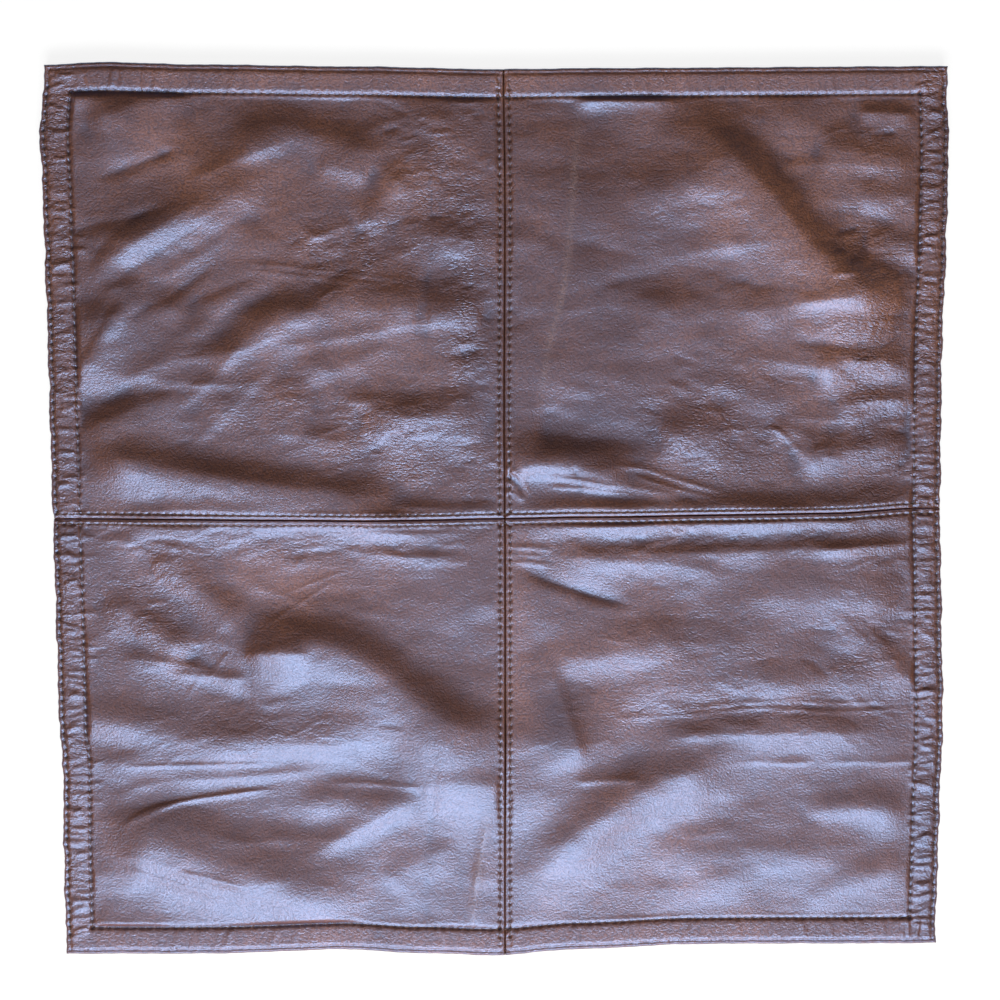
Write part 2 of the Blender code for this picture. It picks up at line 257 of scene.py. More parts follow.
HALF = (rear_right_high[0] - near_left_low[0]) / 2
SEAM_X = (near_left_high[0] + rear_right_low[0]) / 2
SEAM_Y = (near_left_high[1] + rear_right_low[1]) / 2
SEAM_HALF_GAP = (rear_right_low[0] - near_left_high[0]) / 2
BACKING_SEAM_Y = (backing_near_high[1] + backing_rear_low[1]) / 2
THREAD = edge_high[2] - edge_low[2]
EDGE_ROW = HALF - (edge_high[0] - THREAD / 2)
BORDER_ROW = HALF - (border_high[0] - THREAD / 2)
TOPSTITCH_ROW = middle_mm("topstitch_cross_rear")[1] - SEAM_Y
ROW_LEVEL = edge_low[2] - ROW_SINK
FACE_HEM_UNDER = near_left_low[2]
BACKING_HEM_TOP = backing_near_high[2]
BACKING_BORDER_UNDER = middle_mm("edge_row_under")[2] + THREAD / 2 + ROW_SINK
FOLD_REACH = (ROW_LEVEL - FACE_HEM_UNDER) / 2
print("half width", round(HALF, 2), "seams at", round(SEAM_X, 2), round(SEAM_Y, 2), round(BACKING_SEAM_Y, 2))
print("rows at", round(EDGE_ROW, 2), round(BORDER_ROW, 2), "and", round(TOPSTITCH_ROW, 2), "from a seam")
print("row level", round(ROW_LEVEL, 2), "hem underside", round(FACE_HEM_UNDER, 2))

# %% [markdown]
# ## Flat leather and where it lies
#
# A cutter thinks of leather as flat. Everything below is placed in flat coordinates, where the mat is a true
# square, and one small function then moves it to where it really lies: the edges wander by a millimetre or
# two and the seams are not quite straight. Each mesh could be bent by hand instead, but because every piece
# goes through the same function, stitches, panels and backing keep together.

# %% Drift of the edges and seams
# each pair is a place along the edge or seam and the move there, to the right or to the far side
FAR_EDGE_DRIFT = [(-200, 0.6), (-173, 1.7), (-135, 0.6), (-64, -0.4), (0, -1.7), (45, -1.3), (200, -0.7)]
NEAR_EDGE_DRIFT = [(-200, 0.8), (-130, 0.0), (-73, 1.1), (-36, -1.3), (-2, -2.8), (35, -0.5), (87, 1.1),
                   (200, 0.0)]
LEFT_EDGE_DRIFT = [(-200, 0.9), (-159, 0.7), (-107, 1.3), (-98, 0.0), (75, -0.9), (142, -1.5), (169, -2.2),
                   (200, 0.7)]
RIGHT_EDGE_DRIFT = [(-200, -0.1), (-142, 0.9), (-97, 2.0), (-42, 0.6), (-3, -0.7), (73, -0.8), (124, 0.5),
                    (159, 0.9), (200, -0.4)]
CROSS_SEAM_DRIFT = [(-200, 0.3), (-32, -1.4), (1, -1.1), (36, -0.5), (149, 0.2), (190, 2.0), (200, 2.0)]
SHORT_SEAM_DRIFT = [(-200, -1.5), (-6, -0.7), (30, -0.9), (150, 0.0), (200, -0.4)]


def soft_step(value):
    """Zero below zero, one above one, and an even curve in between."""
    share = np.clip(value, 0, 1)
    return share * share * (3 - 2 * share)


def eased(points, at):
    """A soft line through a few given points: flat at each point, smooth in between."""
    places = np.array([point[0] for point in points], float)
    values = np.array([point[1] for point in points], float)
    index = np.clip(np.searchsorted(places, at, side="right") - 1, 0, len(places) - 2)
    share = soft_step((at - places[index]) / (places[index + 1] - places[index]))
    return values[index] * (1 - share) + values[index + 1] * share


def shared_out(at, low, middle, high, low_drift, middle_drift, high_drift):
    """Drift at a place between two edges and the seam that lies between them."""
    below = np.clip((at - low) / (middle - low), 0, 1)
    above = np.clip((at - middle) / (high - middle), 0, 1)
    near_side = low_drift * (1 - below) + middle_drift * below
    far_side = middle_drift * (1 - above) + high_drift * above
    return np.where(at < middle, near_side, far_side)


END_WAVER = 0.3
EDGE_WAVES = [(4.1, 0.08), (7.3, 0.10), (11.9, 0.12), (19.7, 0.16), (31.0, 0.2)]
WAVE_SHIFT = 1.3
LEFT_PHASE, RIGHT_PHASE = 0.4, 2.1
NEAR_PHASE, FAR_PHASE = 3.3, 1.2


def edge_waver(at, phase):
    """Small unevenness of an edge where the stitches pull it in."""
    return sum(height * np.sin(2 * math.pi * at / length + phase * (index + WAVE_SHIFT))
               for index, (length, height) in enumerate(EDGE_WAVES))


def lie(x, y):
    """Where a point of the flat leather lies on the desk, both in millimetres."""
    x = np.asarray(x, float)
    y = np.asarray(y, float)
    moved_x = shared_out(x, -HALF, SEAM_X, HALF, eased(LEFT_EDGE_DRIFT, y), eased(SHORT_SEAM_DRIFT, y),
                         eased(RIGHT_EDGE_DRIFT, y))
    moved_y = shared_out(y, -HALF, SEAM_Y, HALF, eased(NEAR_EDGE_DRIFT, x), eased(CROSS_SEAM_DRIFT, x),
                         eased(FAR_EDGE_DRIFT, x))
    side_share = np.clip((np.abs(x) - HALF + BORDER_ROW) / BORDER_ROW, 0, 1) ** 2
    end_share = np.clip((np.abs(y) - HALF + BORDER_ROW) / BORDER_ROW, 0, 1) ** 2
    moved_x = moved_x + side_share * edge_waver(y, np.where(x > 0, RIGHT_PHASE, LEFT_PHASE))
    moved_y = moved_y + END_WAVER * end_share * edge_waver(x, np.where(y > 0, FAR_PHASE, NEAR_PHASE))
    return x + moved_x, y + moved_y


print("near edge at the seam moves by", [round(float(value), 2) for value in lie(0.0, -HALF)])

# %% [markdown]
# ## The grid of the face
#
# The rumpled face needs a fine mesh, but a piece should stay below 200,000 triangles, so an even grid won't
# do. The folds run mostly from side to side, so the lines are closer together along the depth of the mat
# than along its width, and closest beside the seams. All four panels share one grid, which makes a fold that
# crosses a seam easy to write.

# %% Grid lines
BORDER_BAND = 15.0
SEAM_BAND = 3.0
ACROSS_STEPS = (0.62, 1.0, 0.24)
ALONG_STEPS = (0.52, 0.66, 0.15)
INNER_SKIP = 4
SEAM_REACH = 0.45


def spaced(start, stop, step):
    """Evenly spaced lines, a multiple of four of them so that a coarser inner skin can share them."""
    count = INNER_SKIP * max(1, round(abs(stop - start) / step / INNER_SKIP))
    return np.linspace(start, stop, count + 1)


def panel_lines(edge, seam, steps):
    """Lines of one panel, from the fold at its outer edge to the fold at its seam."""
    inward = math.copysign(1.0, seam - edge)
    border_end = edge + inward * BORDER_BAND
    seam_start = seam - inward * SEAM_BAND
    border = spaced(edge, border_end, steps[0])
    field = spaced(border_end, seam_start, steps[1])
    beside_seam = spaced(seam_start, seam, steps[2])
    return np.sort(np.concatenate([border[:-1], field[:-1], beside_seam]))


outer = HALF - FOLD_REACH
beside = SEAM_HALF_GAP + SEAM_REACH
LEFT_LINES = panel_lines(-outer, SEAM_X - beside, ACROSS_STEPS)
RIGHT_LINES = panel_lines(outer, SEAM_X + beside, ACROSS_STEPS)
NEAR_LINES = panel_lines(-outer, SEAM_Y - beside, ALONG_STEPS)
REAR_LINES = panel_lines(outer, SEAM_Y + beside, ALONG_STEPS)
MAT_X = np.concatenate([LEFT_LINES, RIGHT_LINES])
MAT_Y = np.concatenate([NEAR_LINES, REAR_LINES])
GRID_X, GRID_Y = np.meshgrid(MAT_X, MAT_Y)
EDGE_DISTANCE = np.minimum(HALF - np.abs(GRID_X), HALF - np.abs(GRID_Y))
SHORT_SEAM_DISTANCE = np.abs(GRID_X - SEAM_X)
CROSS_SEAM_DISTANCE = np.abs(GRID_Y - SEAM_Y)
SEAM_DISTANCE = np.minimum(SHORT_SEAM_DISTANCE, CROSS_SEAM_DISTANCE)
print("face grid", GRID_X.shape, "points")

# %% [markdown]
# ## The sewn shape
#
# Before any rumpling, stitching alone gives leather a shape. Each row pulls the leather down to its level.
# Between the edge row and the border row the turned hem pads a soft band, and inside the border row the
# panel rises over a short shoulder to a low crown. Beside a seam it dips to the topstitching, swells to a
# small bead and then dives into the groove. A cloth simulation with shrinking threads could find such a
# shape, but slowly. Here each part of it is a short curve over the distance to an edge or a seam, so that
# it can be set beside the photograph.

# %% Border band, shoulders and crown
BORDER_PUFF = 0.62
BORDER_FULLNESS = 12
PUFF_RUN = 3.0
PUFF_START = 0.4
EDGE_LIP = 0.18
SHOULDER = 0.60
SHOULDER_RUN = 1.4
FAR_CROWN = 0.7
NEAR_CROWN = 0.3
CROWN_RUN = 32.0
DOME = 1.2
SEAM_SHOULDER = 0.40
SEAM_SHOULDER_RUN = 2.2
SEAM_BEAD = 0.17
BEAD_WAVE = 1.45
NEAR_EDGE_RISE = 0.9
FAR_EDGE_RISE = 1.3
SHORT_RISE = 0.4
SHORT_RISE_RUN = 4.0
FOLD_START_RUN = 3.0
SEAM_CALM_RUN = 2.5


def pillow(value, fullness=3):
    """A soft cushion between zero and one, low at both ends and flatter on top the fuller it is."""
    share = np.clip(value, 0, 1)
    return 1 - np.abs(2 * share - 1) ** fullness


past_edge_row = (EDGE_DISTANCE - EDGE_ROW) / (BORDER_ROW - EDGE_ROW)
past_border_row = EDGE_DISTANCE - BORDER_ROW
past_topstitch = SEAM_DISTANCE - TOPSTITCH_ROW
border_band = np.where(past_border_row < 0, pillow(past_edge_row, BORDER_FULLNESS), 0)
edge_lip = np.where(EDGE_DISTANCE < EDGE_ROW, pillow(EDGE_DISTANCE / EDGE_ROW), 0)
border_shoulder = 1 - np.exp(-np.maximum(past_border_row, 0) / SHOULDER_RUN)
seam_shoulder = 1 - np.exp(-np.maximum(past_topstitch, 0) / SEAM_SHOULDER_RUN)
within_rows = np.clip((TOPSTITCH_ROW - SEAM_DISTANCE) / (TOPSTITCH_ROW - beside), 0, 1)
seam_bead = np.sin(BEAD_WAVE * math.pi * within_rows)
crown = soft_step(past_border_row / CROWN_RUN)
crown_height = FAR_CROWN + (NEAR_CROWN - FAR_CROWN) * soft_step(0.5 - GRID_Y / HALF)
near_edge = np.clip((BORDER_ROW - HALF - GRID_Y) / BORDER_ROW, 0, 1)
far_edge = np.clip((BORDER_ROW - HALF + GRID_Y) / BORDER_ROW, 0, 1)
dome = (1 - (GRID_X / HALF) ** 2) * (1 - (GRID_Y / HALF) ** 2)
SEWN = (ROW_LEVEL
        + BORDER_PUFF * border_band * soft_step(past_topstitch / PUFF_RUN + PUFF_START)
        + EDGE_LIP * edge_lip
        + SEAM_BEAD * seam_bead
        + np.minimum(SHOULDER * border_shoulder, SEAM_SHOULDER * seam_shoulder)
        + crown_height * crown
        + DOME * dome
        + NEAR_EDGE_RISE * near_edge
        + FAR_EDGE_RISE * far_edge
        + SHORT_RISE * np.exp(-(SHORT_SEAM_DISTANCE / SHORT_RISE_RUN) ** 2))
INSIDE = soft_step(past_border_row / FOLD_START_RUN)
FIELD = INSIDE * soft_step(past_topstitch / SEAM_CALM_RUN)
print("sewn height from", round(SEWN.min(), 2), "to", round(SEWN.max(), 2), "mm")

# %% [markdown]
# ## The big folds
#
# The leather was folded away and then laid out, so it keeps long soft ridges. Each one is written down as a
# tailor would draw it in chalk: a crest line of a few points, a height, and how far the ridge runs out to the
# left and to the right of the line. Drawn from left to right, the left-hand side is the far side. A sculpted
# mesh would look the same, but a list of chalk lines can be read, changed and checked against the photo.

# %% Drawing one fold
FOLD_TAPER = 0.24
NARROW_CREST = 1.5
WIDE_CREST = 2.0
ROUND_FROM = 3.0
ROUND_RUN = 5.0
FOLD_MARGIN = 2.4
LINE_STEPS = 6
# wave length and share of the height
SWAY_WAVES = [(56.0, 0.18), (23.0, 0.12)]
SWAY_REACHES = 3.0


def flowing(points, steps):
    """A smooth line through chalk points, by Catmull-Rom interpolation."""
    points = np.array(points, float)
    padded = np.vstack([2 * points[0] - points[1], points, 2 * points[-1] - points[-2]])
    share = np.linspace(0, 1, steps, endpoint=False)[:, None]
    stretches = []
    for before, start, end, after in zip(padded, padded[1:], padded[2:], padded[3:]):
        bend = (2 * start + (end - before) * share + (2 * before - 5 * start + 4 * end - after) * share ** 2
                + (3 * start - before - 3 * end + after) * share ** 3)
        stretches.append(bend / 2)
    return np.vstack(stretches + [points[-1:]])


def draw_fold(relief, height, far_reach, near_reach, points, steps=LINE_STEPS):
    """Add one ridge to a relief, or a groove where its height is below zero. A wide ridge has a rounder
    crest, and a long narrow one sways a little in height."""
    line = flowing(points, steps)
    roundness = soft_step((min(far_reach, near_reach) - ROUND_FROM) / ROUND_RUN)
    crest = NARROW_CREST + (WIDE_CREST - NARROW_CREST) * roundness
    widest = max(far_reach, near_reach)
    margin = FOLD_MARGIN * widest
    columns = slice(*np.searchsorted(MAT_X, (line[:, 0].min() - margin, line[:, 0].max() + margin)))
    rows = slice(*np.searchsorted(MAT_Y, (line[:, 1].min() - margin, line[:, 1].max() + margin)))
    x = GRID_X[rows, columns]
    y = GRID_Y[rows, columns]
    nearest = np.full(x.shape, np.inf)
    side = np.zeros(x.shape)
    along = np.zeros(x.shape)
    for index, (start, end) in enumerate(zip(line, line[1:])):
        step = end - start
        share = np.clip(((x - start[0]) * step[0] + (y - start[1]) * step[1]) / (step @ step), 0, 1)
        away_x = x - start[0] - share * step[0]
        away_y = y - start[1] - share * step[1]
        distance = away_x ** 2 + away_y ** 2
        closer = distance < nearest
        nearest = np.where(closer, distance, nearest)
        side = np.where(closer, step[0] * away_y - step[1] * away_x, side)
        along = np.where(closer, (index + share) / (len(line) - 1), along)
    reach = np.where(side > 0, far_reach, near_reach)
    taper = soft_step(along / FOLD_TAPER) * soft_step((1 - along) / FOLD_TAPER)
    run = along * np.linalg.norm(np.diff(line, axis=0), axis=1).sum()
    for wave_length, wave_share in SWAY_WAVES:
        sway = wave_share * soft_step(wave_length / (SWAY_REACHES * widest) - 1)
        taper = taper * (1 + sway * np.sin(2 * math.pi * run / wave_length + points[0][0]))
    relief[rows, columns] += height * taper * np.exp(-(nearest / reach ** 2) ** (crest / 2))


# %% Chalk lines of the far left panel
# each line is a height, its reach to the far and to the near side, and its points
FAR_LEFT_FOLDS = [
    (1.5, 4.5, 6, [(-198, 184), (-184, 184), (-166, 183)]),
    (2.3, 7, 14, [(-182, 171), (-165, 178), (-150, 183), (-134, 186)]),
    (4.0, 14, 9, [(-196, 100), (-168, 118), (-152, 127), (-132, 135), (-117, 144), (-96, 157)]),
    (2.8, 9, 9, [(-120, 159), (-104, 169), (-86, 171), (-66, 164), (-46, 156)]),
    (1.0, 5, 5, [(-82, 156), (-68, 155), (-56, 152)]),
    (1.3, 6, 6, [(-63, 128), (-51, 142), (-38, 154)]),
    (2.0, 10, 9, [(-191, 60), (-174, 84), (-159, 110)]),
    (1.3, 8, 9, [(-186, 83), (-160, 92), (-134, 94)]),
    (2.9, 10, 8, [(-127, 78), (-98, 88), (-73, 93), (-46, 97), (-30, 97)]),
    (1.7, 9, 7, [(-37, 92), (-20, 92), (-4, 91)]),
    (1.0, 7, 8, [(-46, 126), (-28, 127), (-8, 124)]),
    (1.9, 6, 12, [(-189, 37), (-171, 45), (-156, 51), (-138, 55)]),
    (1.3, 8, 10, [(-136, 51), (-106, 54), (-80, 51)]),
    (2.4, 9, 10, [(-64, 40), (-46, 44), (-25, 45), (-2, 41)]),
    (4.6, 8, 12, [(-190, 27), (-171, 26), (-150, 22), (-120, 17), (-90, 13), (-60, 10), (-40, 8)]),
    (1.2, 3, 3, [(-48, 6), (-25, 5), (2, 4)]),
    (0.25, 1.3, 1.3, [(-119, 114), (-89, 112), (-62, 109), (-39, 106)]),
    (0.20, 1.2, 1.2, [(-108, 110), (-76, 107), (-44, 104)]),
    (-0.28, 0.9, 0.9, [(-30, 188), (-30, 143), (-32, 97), (-33, 48)]),
    (-0.18, 0.8, 0.8, [(-36, 179), (-36, 156), (-37, 138)]),
    (-0.20, 0.8, 0.8, [(-26, 180), (-26, 145), (-27, 118)]),
    (-0.22, 0.8, 0.8, [(-25, 84), (-25, 57), (-26, 31)]),
    (-0.30, 1.5, 1.5, [(-58, 187), (-41, 180), (-28, 174)]),
]

# %% Chalk lines of the far right panel
FAR_RIGHT_FOLDS = [
    (2.4, 2.5, 4.5, [(32, 187), (55, 187), (80, 186)]),
    (6.0, 10, 26, [(76, 186), (96, 166), (116, 146), (131, 127), (145, 114), (168, 99), (186, 94)]),
    (1.3, 3.5, 5, [(158, 180), (172, 179), (189, 178)]),
    (1.9, 7, 9, [(140, 164), (160, 161), (190, 156)]),
    (1.2, 6, 7, [(158, 141), (172, 142), (191, 141)]),
    (1.1, 6, 7, [(162, 121), (176, 121), (193, 120)]),
    (0.9, 8, 11, [(104, 93), (132, 98), (154, 98), (186, 91)]),
    (2.3, 7, 8, [(140, 64), (160, 67), (189, 64)]),
    (1.4, 4, 6, [(150, 48), (168, 50), (189, 49)]),
    (2.5, 7, 8, [(132, 24), (155, 28), (189, 30)]),
    (1.5, 12, 9, [(54, 142), (78, 147), (100, 147), (120, 142)]),
    (1.4, 9, 8, [(56, 92), (85, 93), (112, 92), (132, 88)]),
    (0.4, 5, 4, [(52, 112), (85, 118), (112, 122), (138, 125)]),
    (3.6, 11, 6.5, [(0, 20), (13, 24.5), (28, 24.5), (44, 21), (62, 15)]),
    (-1.9, 13, 7, [(12, 38), (28, 38), (50, 36), (80, 32)]),
    (1.3, 5, 3.5, [(28, 16), (46, 14.5), (66, 12), (88, 8.5)]),
    (0.8, 1.5, 1.2, [(1, 24), (9, 19), (14, 9)]),
    (0.7, 1.3, 1.2, [(1, 18), (7, 14), (12, 7)]),
    (0.6, 1.3, 1.2, [(1, 12), (7, 11), (11, 7)]),
    (0.6, 1.4, 1.2, [(46, 24), (66, 21), (84, 15), (104, 9)]),
    (0.5, 1.2, 1.2, [(16, 19), (34, 17), (54, 13)]),
    (0.5, 1.2, 1.2, [(20, 14), (40, 12.5), (64, 9)]),
    (-0.5, 1.4, 1.4, [(33, 24), (36, 17), (37, 9)]),
    (0.5, 1.3, 1.1, [(58, 19), (80, 12), (99, 7)]),
    (1.5, 8, 8, [(70, 36), (88, 37), (106, 33)]),
    (1.0, 5, 6, [(120, 38), (134, 37), (144, 32)]),
    (0.5, 1.6, 1.2, [(121, 41), (131, 33), (140, 23)]),
    (3.4, 5.5, 9, [(0, 2), (40, 2.5), (90, 2.5), (150, 2.5), (204, 3.5)]),
]

# %% Chalk lines of the near left panel
NEAR_LEFT_FOLDS = [
    (2.6, 6.5, 10, [(-196, -5), (-150, -1), (-120, 1), (-80, 1), (-40, 0), (-4, -2)]),
    (0.7, 2.5, 4, [(-70, -5), (-42, -6), (-12, -6)]),
    (0.9, 3, 4, [(-72, -14), (-43, -16.5), (-10, -17)]),
    (2.5, 9, 8, [(-160, -13), (-142, -27), (-128, -40), (-112, -53)]),
    (1.9, 6, 10, [(-180, -35), (-164, -44), (-152, -53), (-138, -64)]),
    (6.6, 12, 26, [(-140, -57), (-114, -58), (-98, -57), (-84, -57), (-70, -61), (-57, -69), (-44, -79),
                   (-28, -90), (-10, -97), (8, -100)]),
    (1.4, 4, 7, [(-116, -61), (-100, -59), (-84, -61)]),
    (0.25, 0.7, 0.7, [(-143, -83), (-137, -74), (-132, -66)]),
    (0.25, 0.7, 0.7, [(-134, -75), (-127, -66), (-120, -57)]),
    (0.20, 0.8, 0.8, [(-108, -49), (-90, -38), (-71, -25)]),
    (0.18, 0.8, 0.8, [(-102, -36), (-85, -29), (-66, -22)]),
    (1.1, 3, 4.5, [(-172, -63), (-150, -65), (-130, -68)]),
    (1.0, 3, 4, [(-153, -70), (-132, -71), (-112, -72)]),
    (3.8, 18, 34, [(-54, -97), (-28, -103), (-8, -105), (12, -105), (34, -106), (66, -109)]),
    (2.7, 10, 8, [(-224, -84), (-189, -89), (-160, -95), (-130, -98), (-100, -99), (-70, -98), (-44, -97)]),
    (1.6, 8, 8, [(-190, -122), (-172, -111), (-150, -108), (-120, -107), (-85, -106), (-50, -106)]),
    (0.8, 5, 3.5, [(-182, -131), (-165, -122), (-148, -119), (-120, -117.5), (-92, -115.5), (-74, -114)]),
    (0.55, 0.9, 2.0, [(-177, -143), (-162, -133), (-145, -128.5), (-120, -125), (-98, -123)]),
    (5.2, 17, 16, [(-189, -141), (-170, -146), (-155, -151), (-138, -157), (-120, -163), (-100, -169),
                   (-80, -175), (-58, -182)]),
    (1.4, 7, 9, [(-95, -129), (-75, -129), (-58, -129.5), (-38, -127)]),
    (1.9, 8, 6, [(-96, -159), (-70, -145), (-50, -133), (-36, -124)]),
    (0.45, 0.9, 1.4, [(-170, -139), (-150, -130), (-126, -125.5), (-104, -123)]),
    (0.5, 1.6, 2, [(-80, -121), (-55, -121), (-30, -122)]),
    (0.4, 0.9, 1.2, [(-178, -113), (-150, -112), (-122, -111.5), (-95, -111)]),
    (0.5, 1.5, 2.5, [(-150, -160), (-130, -164), (-108, -171)]),
    (0.4, 1.5, 3, [(-176, -158), (-150, -166), (-122, -174)]),
    (1.2, 6, 13, [(-40, -121), (-18, -120), (6, -122)]),
    (1.1, 6, 10, [(-54, -169), (-40, -158), (-18, -150)]),
    (-0.5, 3.0, 3.0, [(-30, -80), (-30, -120), (-33, -160), (-34, -196)]),
    (1.0, 3, 2.5, [(-3, -124), (-8, -150), (-11, -170), (-13, -194)]),
    (0.6, 6, 7, [(-200, -167), (-180, -163), (-158, -167)]),
    (1.3, 7, 2, [(-188, -185), (-170, -186), (-148, -186)]),
]

# %% Chalk lines of the near right panel
NEAR_RIGHT_FOLDS = [
    (1.5, 1.8, 5.5, [(22, -4.5), (60, -4), (110, -4), (150, -4), (196, -3.5)]),
    (2.0, 4.5, 7, [(26, -18), (60, -17), (100, -17), (140, -16), (165, -15.5), (194, -15.5)]),
    (1.3, 5, 8, [(18, -17), (50, -20), (80, -23), (108, -28)]),
    (1.1, 2.5, 4, [(136, -16.5), (165, -16), (194, -16)]),
    (1.9, 14, 10, [(108, -34), (135, -37), (160, -38), (184, -42)]),
    (-1.3, 6, 2.5, [(4, -20), (25, -30), (45, -37), (62, -41)]),
    (0.45, 1.2, 1.6, [(4, -13), (13, -13), (26, -15)]),
    (0.35, 1.0, 1.3, [(4, -16), (12, -16.5), (21, -18)]),
    (0.45, 1.2, 1.6, [(5, -20), (13, -20), (23, -22)]),
    (2.4, 13, 9, [(16, -65), (35, -62), (50, -61), (70, -58), (88, -56)]),
    (1.5, 14, 4.4, [(38, -116), (33, -100), (27, -82), (18, -58)]),
    (0.40, 1.2, 1.2, [(57, -93), (90, -91), (118, -89), (150, -91), (192, -91)]),
    (0.30, 1.1, 1.1, [(59, -89), (93, -88), (118, -86), (150, -87), (192, -88)]),
    (1.4, 8, 8, [(108, -79), (140, -75), (176, -79)]),
    (2.2, 26, 12, [(50, -80), (85, -77), (120, -76), (150, -78)]),
    (0.7, 5, 3.0, [(66, -103), (92, -100.5), (118, -101), (142, -100), (168, -102)]),
    (2.6, 9, 14, [(54, -106), (90, -101), (120, -100.5), (150, -101), (192, -103)]),
    (0.5, 5, 4, [(110, -94), (132, -93.5), (154, -95)]),
    (0.4, 2.5, 1.3, [(98, -116), (114, -114), (130, -115), (146, -114)]),
    (0.4, 2.5, 1.3, [(142, -115.5), (158, -114.5), (176, -115.5), (194, -114.5)]),
    (0.7, 3, 2, [(32, -121), (48, -120.5), (66, -121)]),
    (5.2, 11, 16, [(4, -182), (28, -155), (42, -142), (56, -131), (72, -123), (92, -118), (116, -116)]),
    (2.1, 8, 7, [(136, -138), (155, -135.5), (170, -136), (189, -141)]),
    (1.8, 10, 13, [(56, -159), (90, -156.5), (118, -156), (146, -157), (170, -151)]),
    (0.9, 8, 8, [(60, -180), (92, -173), (122, -168)]),
    (1.1, 7, 7, [(136, -180), (162, -170), (190, -162)]),
    (1.7, 7, 12, [(148, -44), (170, -64), (190, -85)]),
]

# %% Fold the face
FOLDS = np.zeros(GRID_X.shape)
for panel_folds in (FAR_LEFT_FOLDS, FAR_RIGHT_FOLDS, NEAR_LEFT_FOLDS, NEAR_RIGHT_FOLDS):
    for fold in panel_folds:
        draw_fold(FOLDS, *fold)
print("folds reach from", round(FOLDS.min(), 2), "to", round(FOLDS.max(), 2), "mm")

# %% Small folds between the big ones
SEED = 1947
CHANCE = np.random.default_rng(SEED)
SMALL_FOLD_PATCHES = [
    # middle, half size, turn in degrees, number of folds, their length, their height
    ((-130, 115), (65, 65), 32, 26, 55, 0.70), ((-45, 110), (42, 70), 18, 20, 42, 0.50),
    ((-105, 60), (80, 30), 10, 22, 55, 0.60), ((70, 115), (60, 70), 6, 26, 50, 0.20),
    ((158, 100), (34, 85), -4, 26, 40, 0.50), ((85, 50), (65, 30), -6, 20, 46, 0.22),
    ((-110, -50), (80, 40), -10, 26, 46, 0.30), ((-115, -140), (70, 42), -10, 26, 50, 0.24),
    ((100, -60), (85, 45), 3, 30, 50, 0.15), ((105, -150), (80, 36), 6, 26, 50, 0.17),
]
PATCH_SPREAD = 0.5
LENGTH_SHARES = (0.3, 0.8)
RIDGE_OR_GROOVE = [1.0, 1.0, -1.0]
SHORT_LINE_STEPS = 2
SMALL_FOLD_SPREAD = 10
SMALL_FOLD_BEND = 0.10
SMALL_FOLD_HEIGHTS = (0.3, 1.3)
SMALL_FOLD_WIDTHS = (2.6, 6.0)
SMALL_FOLD_LEAN = 1.4


def short_line(middle, half_size, turn, spread, length, bend):
    """Three chalk points of a short line at a random place in an oval patch."""
    spot = np.array(middle) + np.array(half_size) * np.clip(CHANCE.normal(0, PATCH_SPREAD, 2), -1, 1)
    angle = math.radians(turn + CHANCE.normal(0, spread))
    reach = np.array([math.cos(angle), math.sin(angle)]) * length * CHANCE.uniform(*LENGTH_SHARES)
    bow = np.array([-reach[1], reach[0]]) * CHANCE.normal(0, bend)
    return [spot - reach, spot + bow, spot + reach]


for middle, half_size, turn, count, length, height in SMALL_FOLD_PATCHES:
    for _ in range(count):
        line = short_line(middle, half_size, turn, SMALL_FOLD_SPREAD, length, SMALL_FOLD_BEND)
        lift = height * CHANCE.uniform(*SMALL_FOLD_HEIGHTS) * CHANCE.choice(RIDGE_OR_GROOVE)
        width = CHANCE.uniform(*SMALL_FOLD_WIDTHS)
        draw_fold(FOLDS, lift, width * SMALL_FOLD_LEAN, width, line, SHORT_LINE_STEPS)
print("small folds:", sum(patch[3] for patch in SMALL_FOLD_PATCHES))

# %% [markdown]
# ## Puckers and fine creases
#
# A long row of stitches gathers soft leather, so both side borders are full of short puckers, and the leather
# that was creased in storage is covered with fine wrinkles. There are far too many to draw one by one. A
# seeded random generator scatters short chalk lines over the patches where they are seen, each patch with
# its own direction, length and height. It also lays soft waves of a few sizes, because no hide is even.

# %% Scattered creases
PLAIN_WRINKLE = 0.12
WRINKLE_SHARE = 0.6
CREASE_LIFT = 1.9
CREASE_SPREAD = 14
CREASE_BEND = 0.15
CREASE_HEIGHTS = (0.4, 1.3)
CREASE_WIDTHS = (0.7, 1.6)
CREASE_LEAN = 1.3
CREASES = np.zeros(GRID_X.shape)
WRINKLES = np.full(GRID_X.shape, PLAIN_WRINKLE)
CREASE_PATCHES = [
    # middle, half size, turn in degrees, number of creases, their length, their height, wrinkle paint
    ((-26, 150), (26, 36), 12, 60, 9, 0.09, 0.7),
    ((-14, 90), (13, 90), 10, 80, 8, 0.10, 0.9),
    ((-45, 35), (45, 26), 4, 80, 11, 0.09, 1.0),
    ((-105, 52), (40, 22), 14, 40, 10, 0.06, 0.6),
    ((-60, 120), (40, 20), 22, 50, 10, 0.08, 0.8),
    ((168, 60), (22, 110), 8, 110, 10, 0.12, 0.9),
    ((100, 40), (50, 36), -8, 70, 11, 0.08, 0.8),
    ((85, 140), (45, 40), 4, 20, 9, 0.05, 0.3),
    ((165, -70), (26, 40), -24, 60, 10, 0.10, 0.8),
    ((100, -90), (80, 12), 4, 60, 12, 0.09, 0.8),
    ((90, -60), (50, 30), 3, 40, 11, 0.06, 0.6),
    ((-160, -40), (32, 40), 14, 70, 9, 0.09, 0.9),
    ((-120, -95), (70, 14), 6, 60, 12, 0.08, 0.7),
    ((-100, -14), (90, 8), 2, 60, 12, 0.09, 0.6),
    ((100, -12), (90, 6), 2, 60, 12, 0.09, 0.5),
    ((-60, -170), (50, 18), 8, 20, 9, 0.05, 0.2),
]


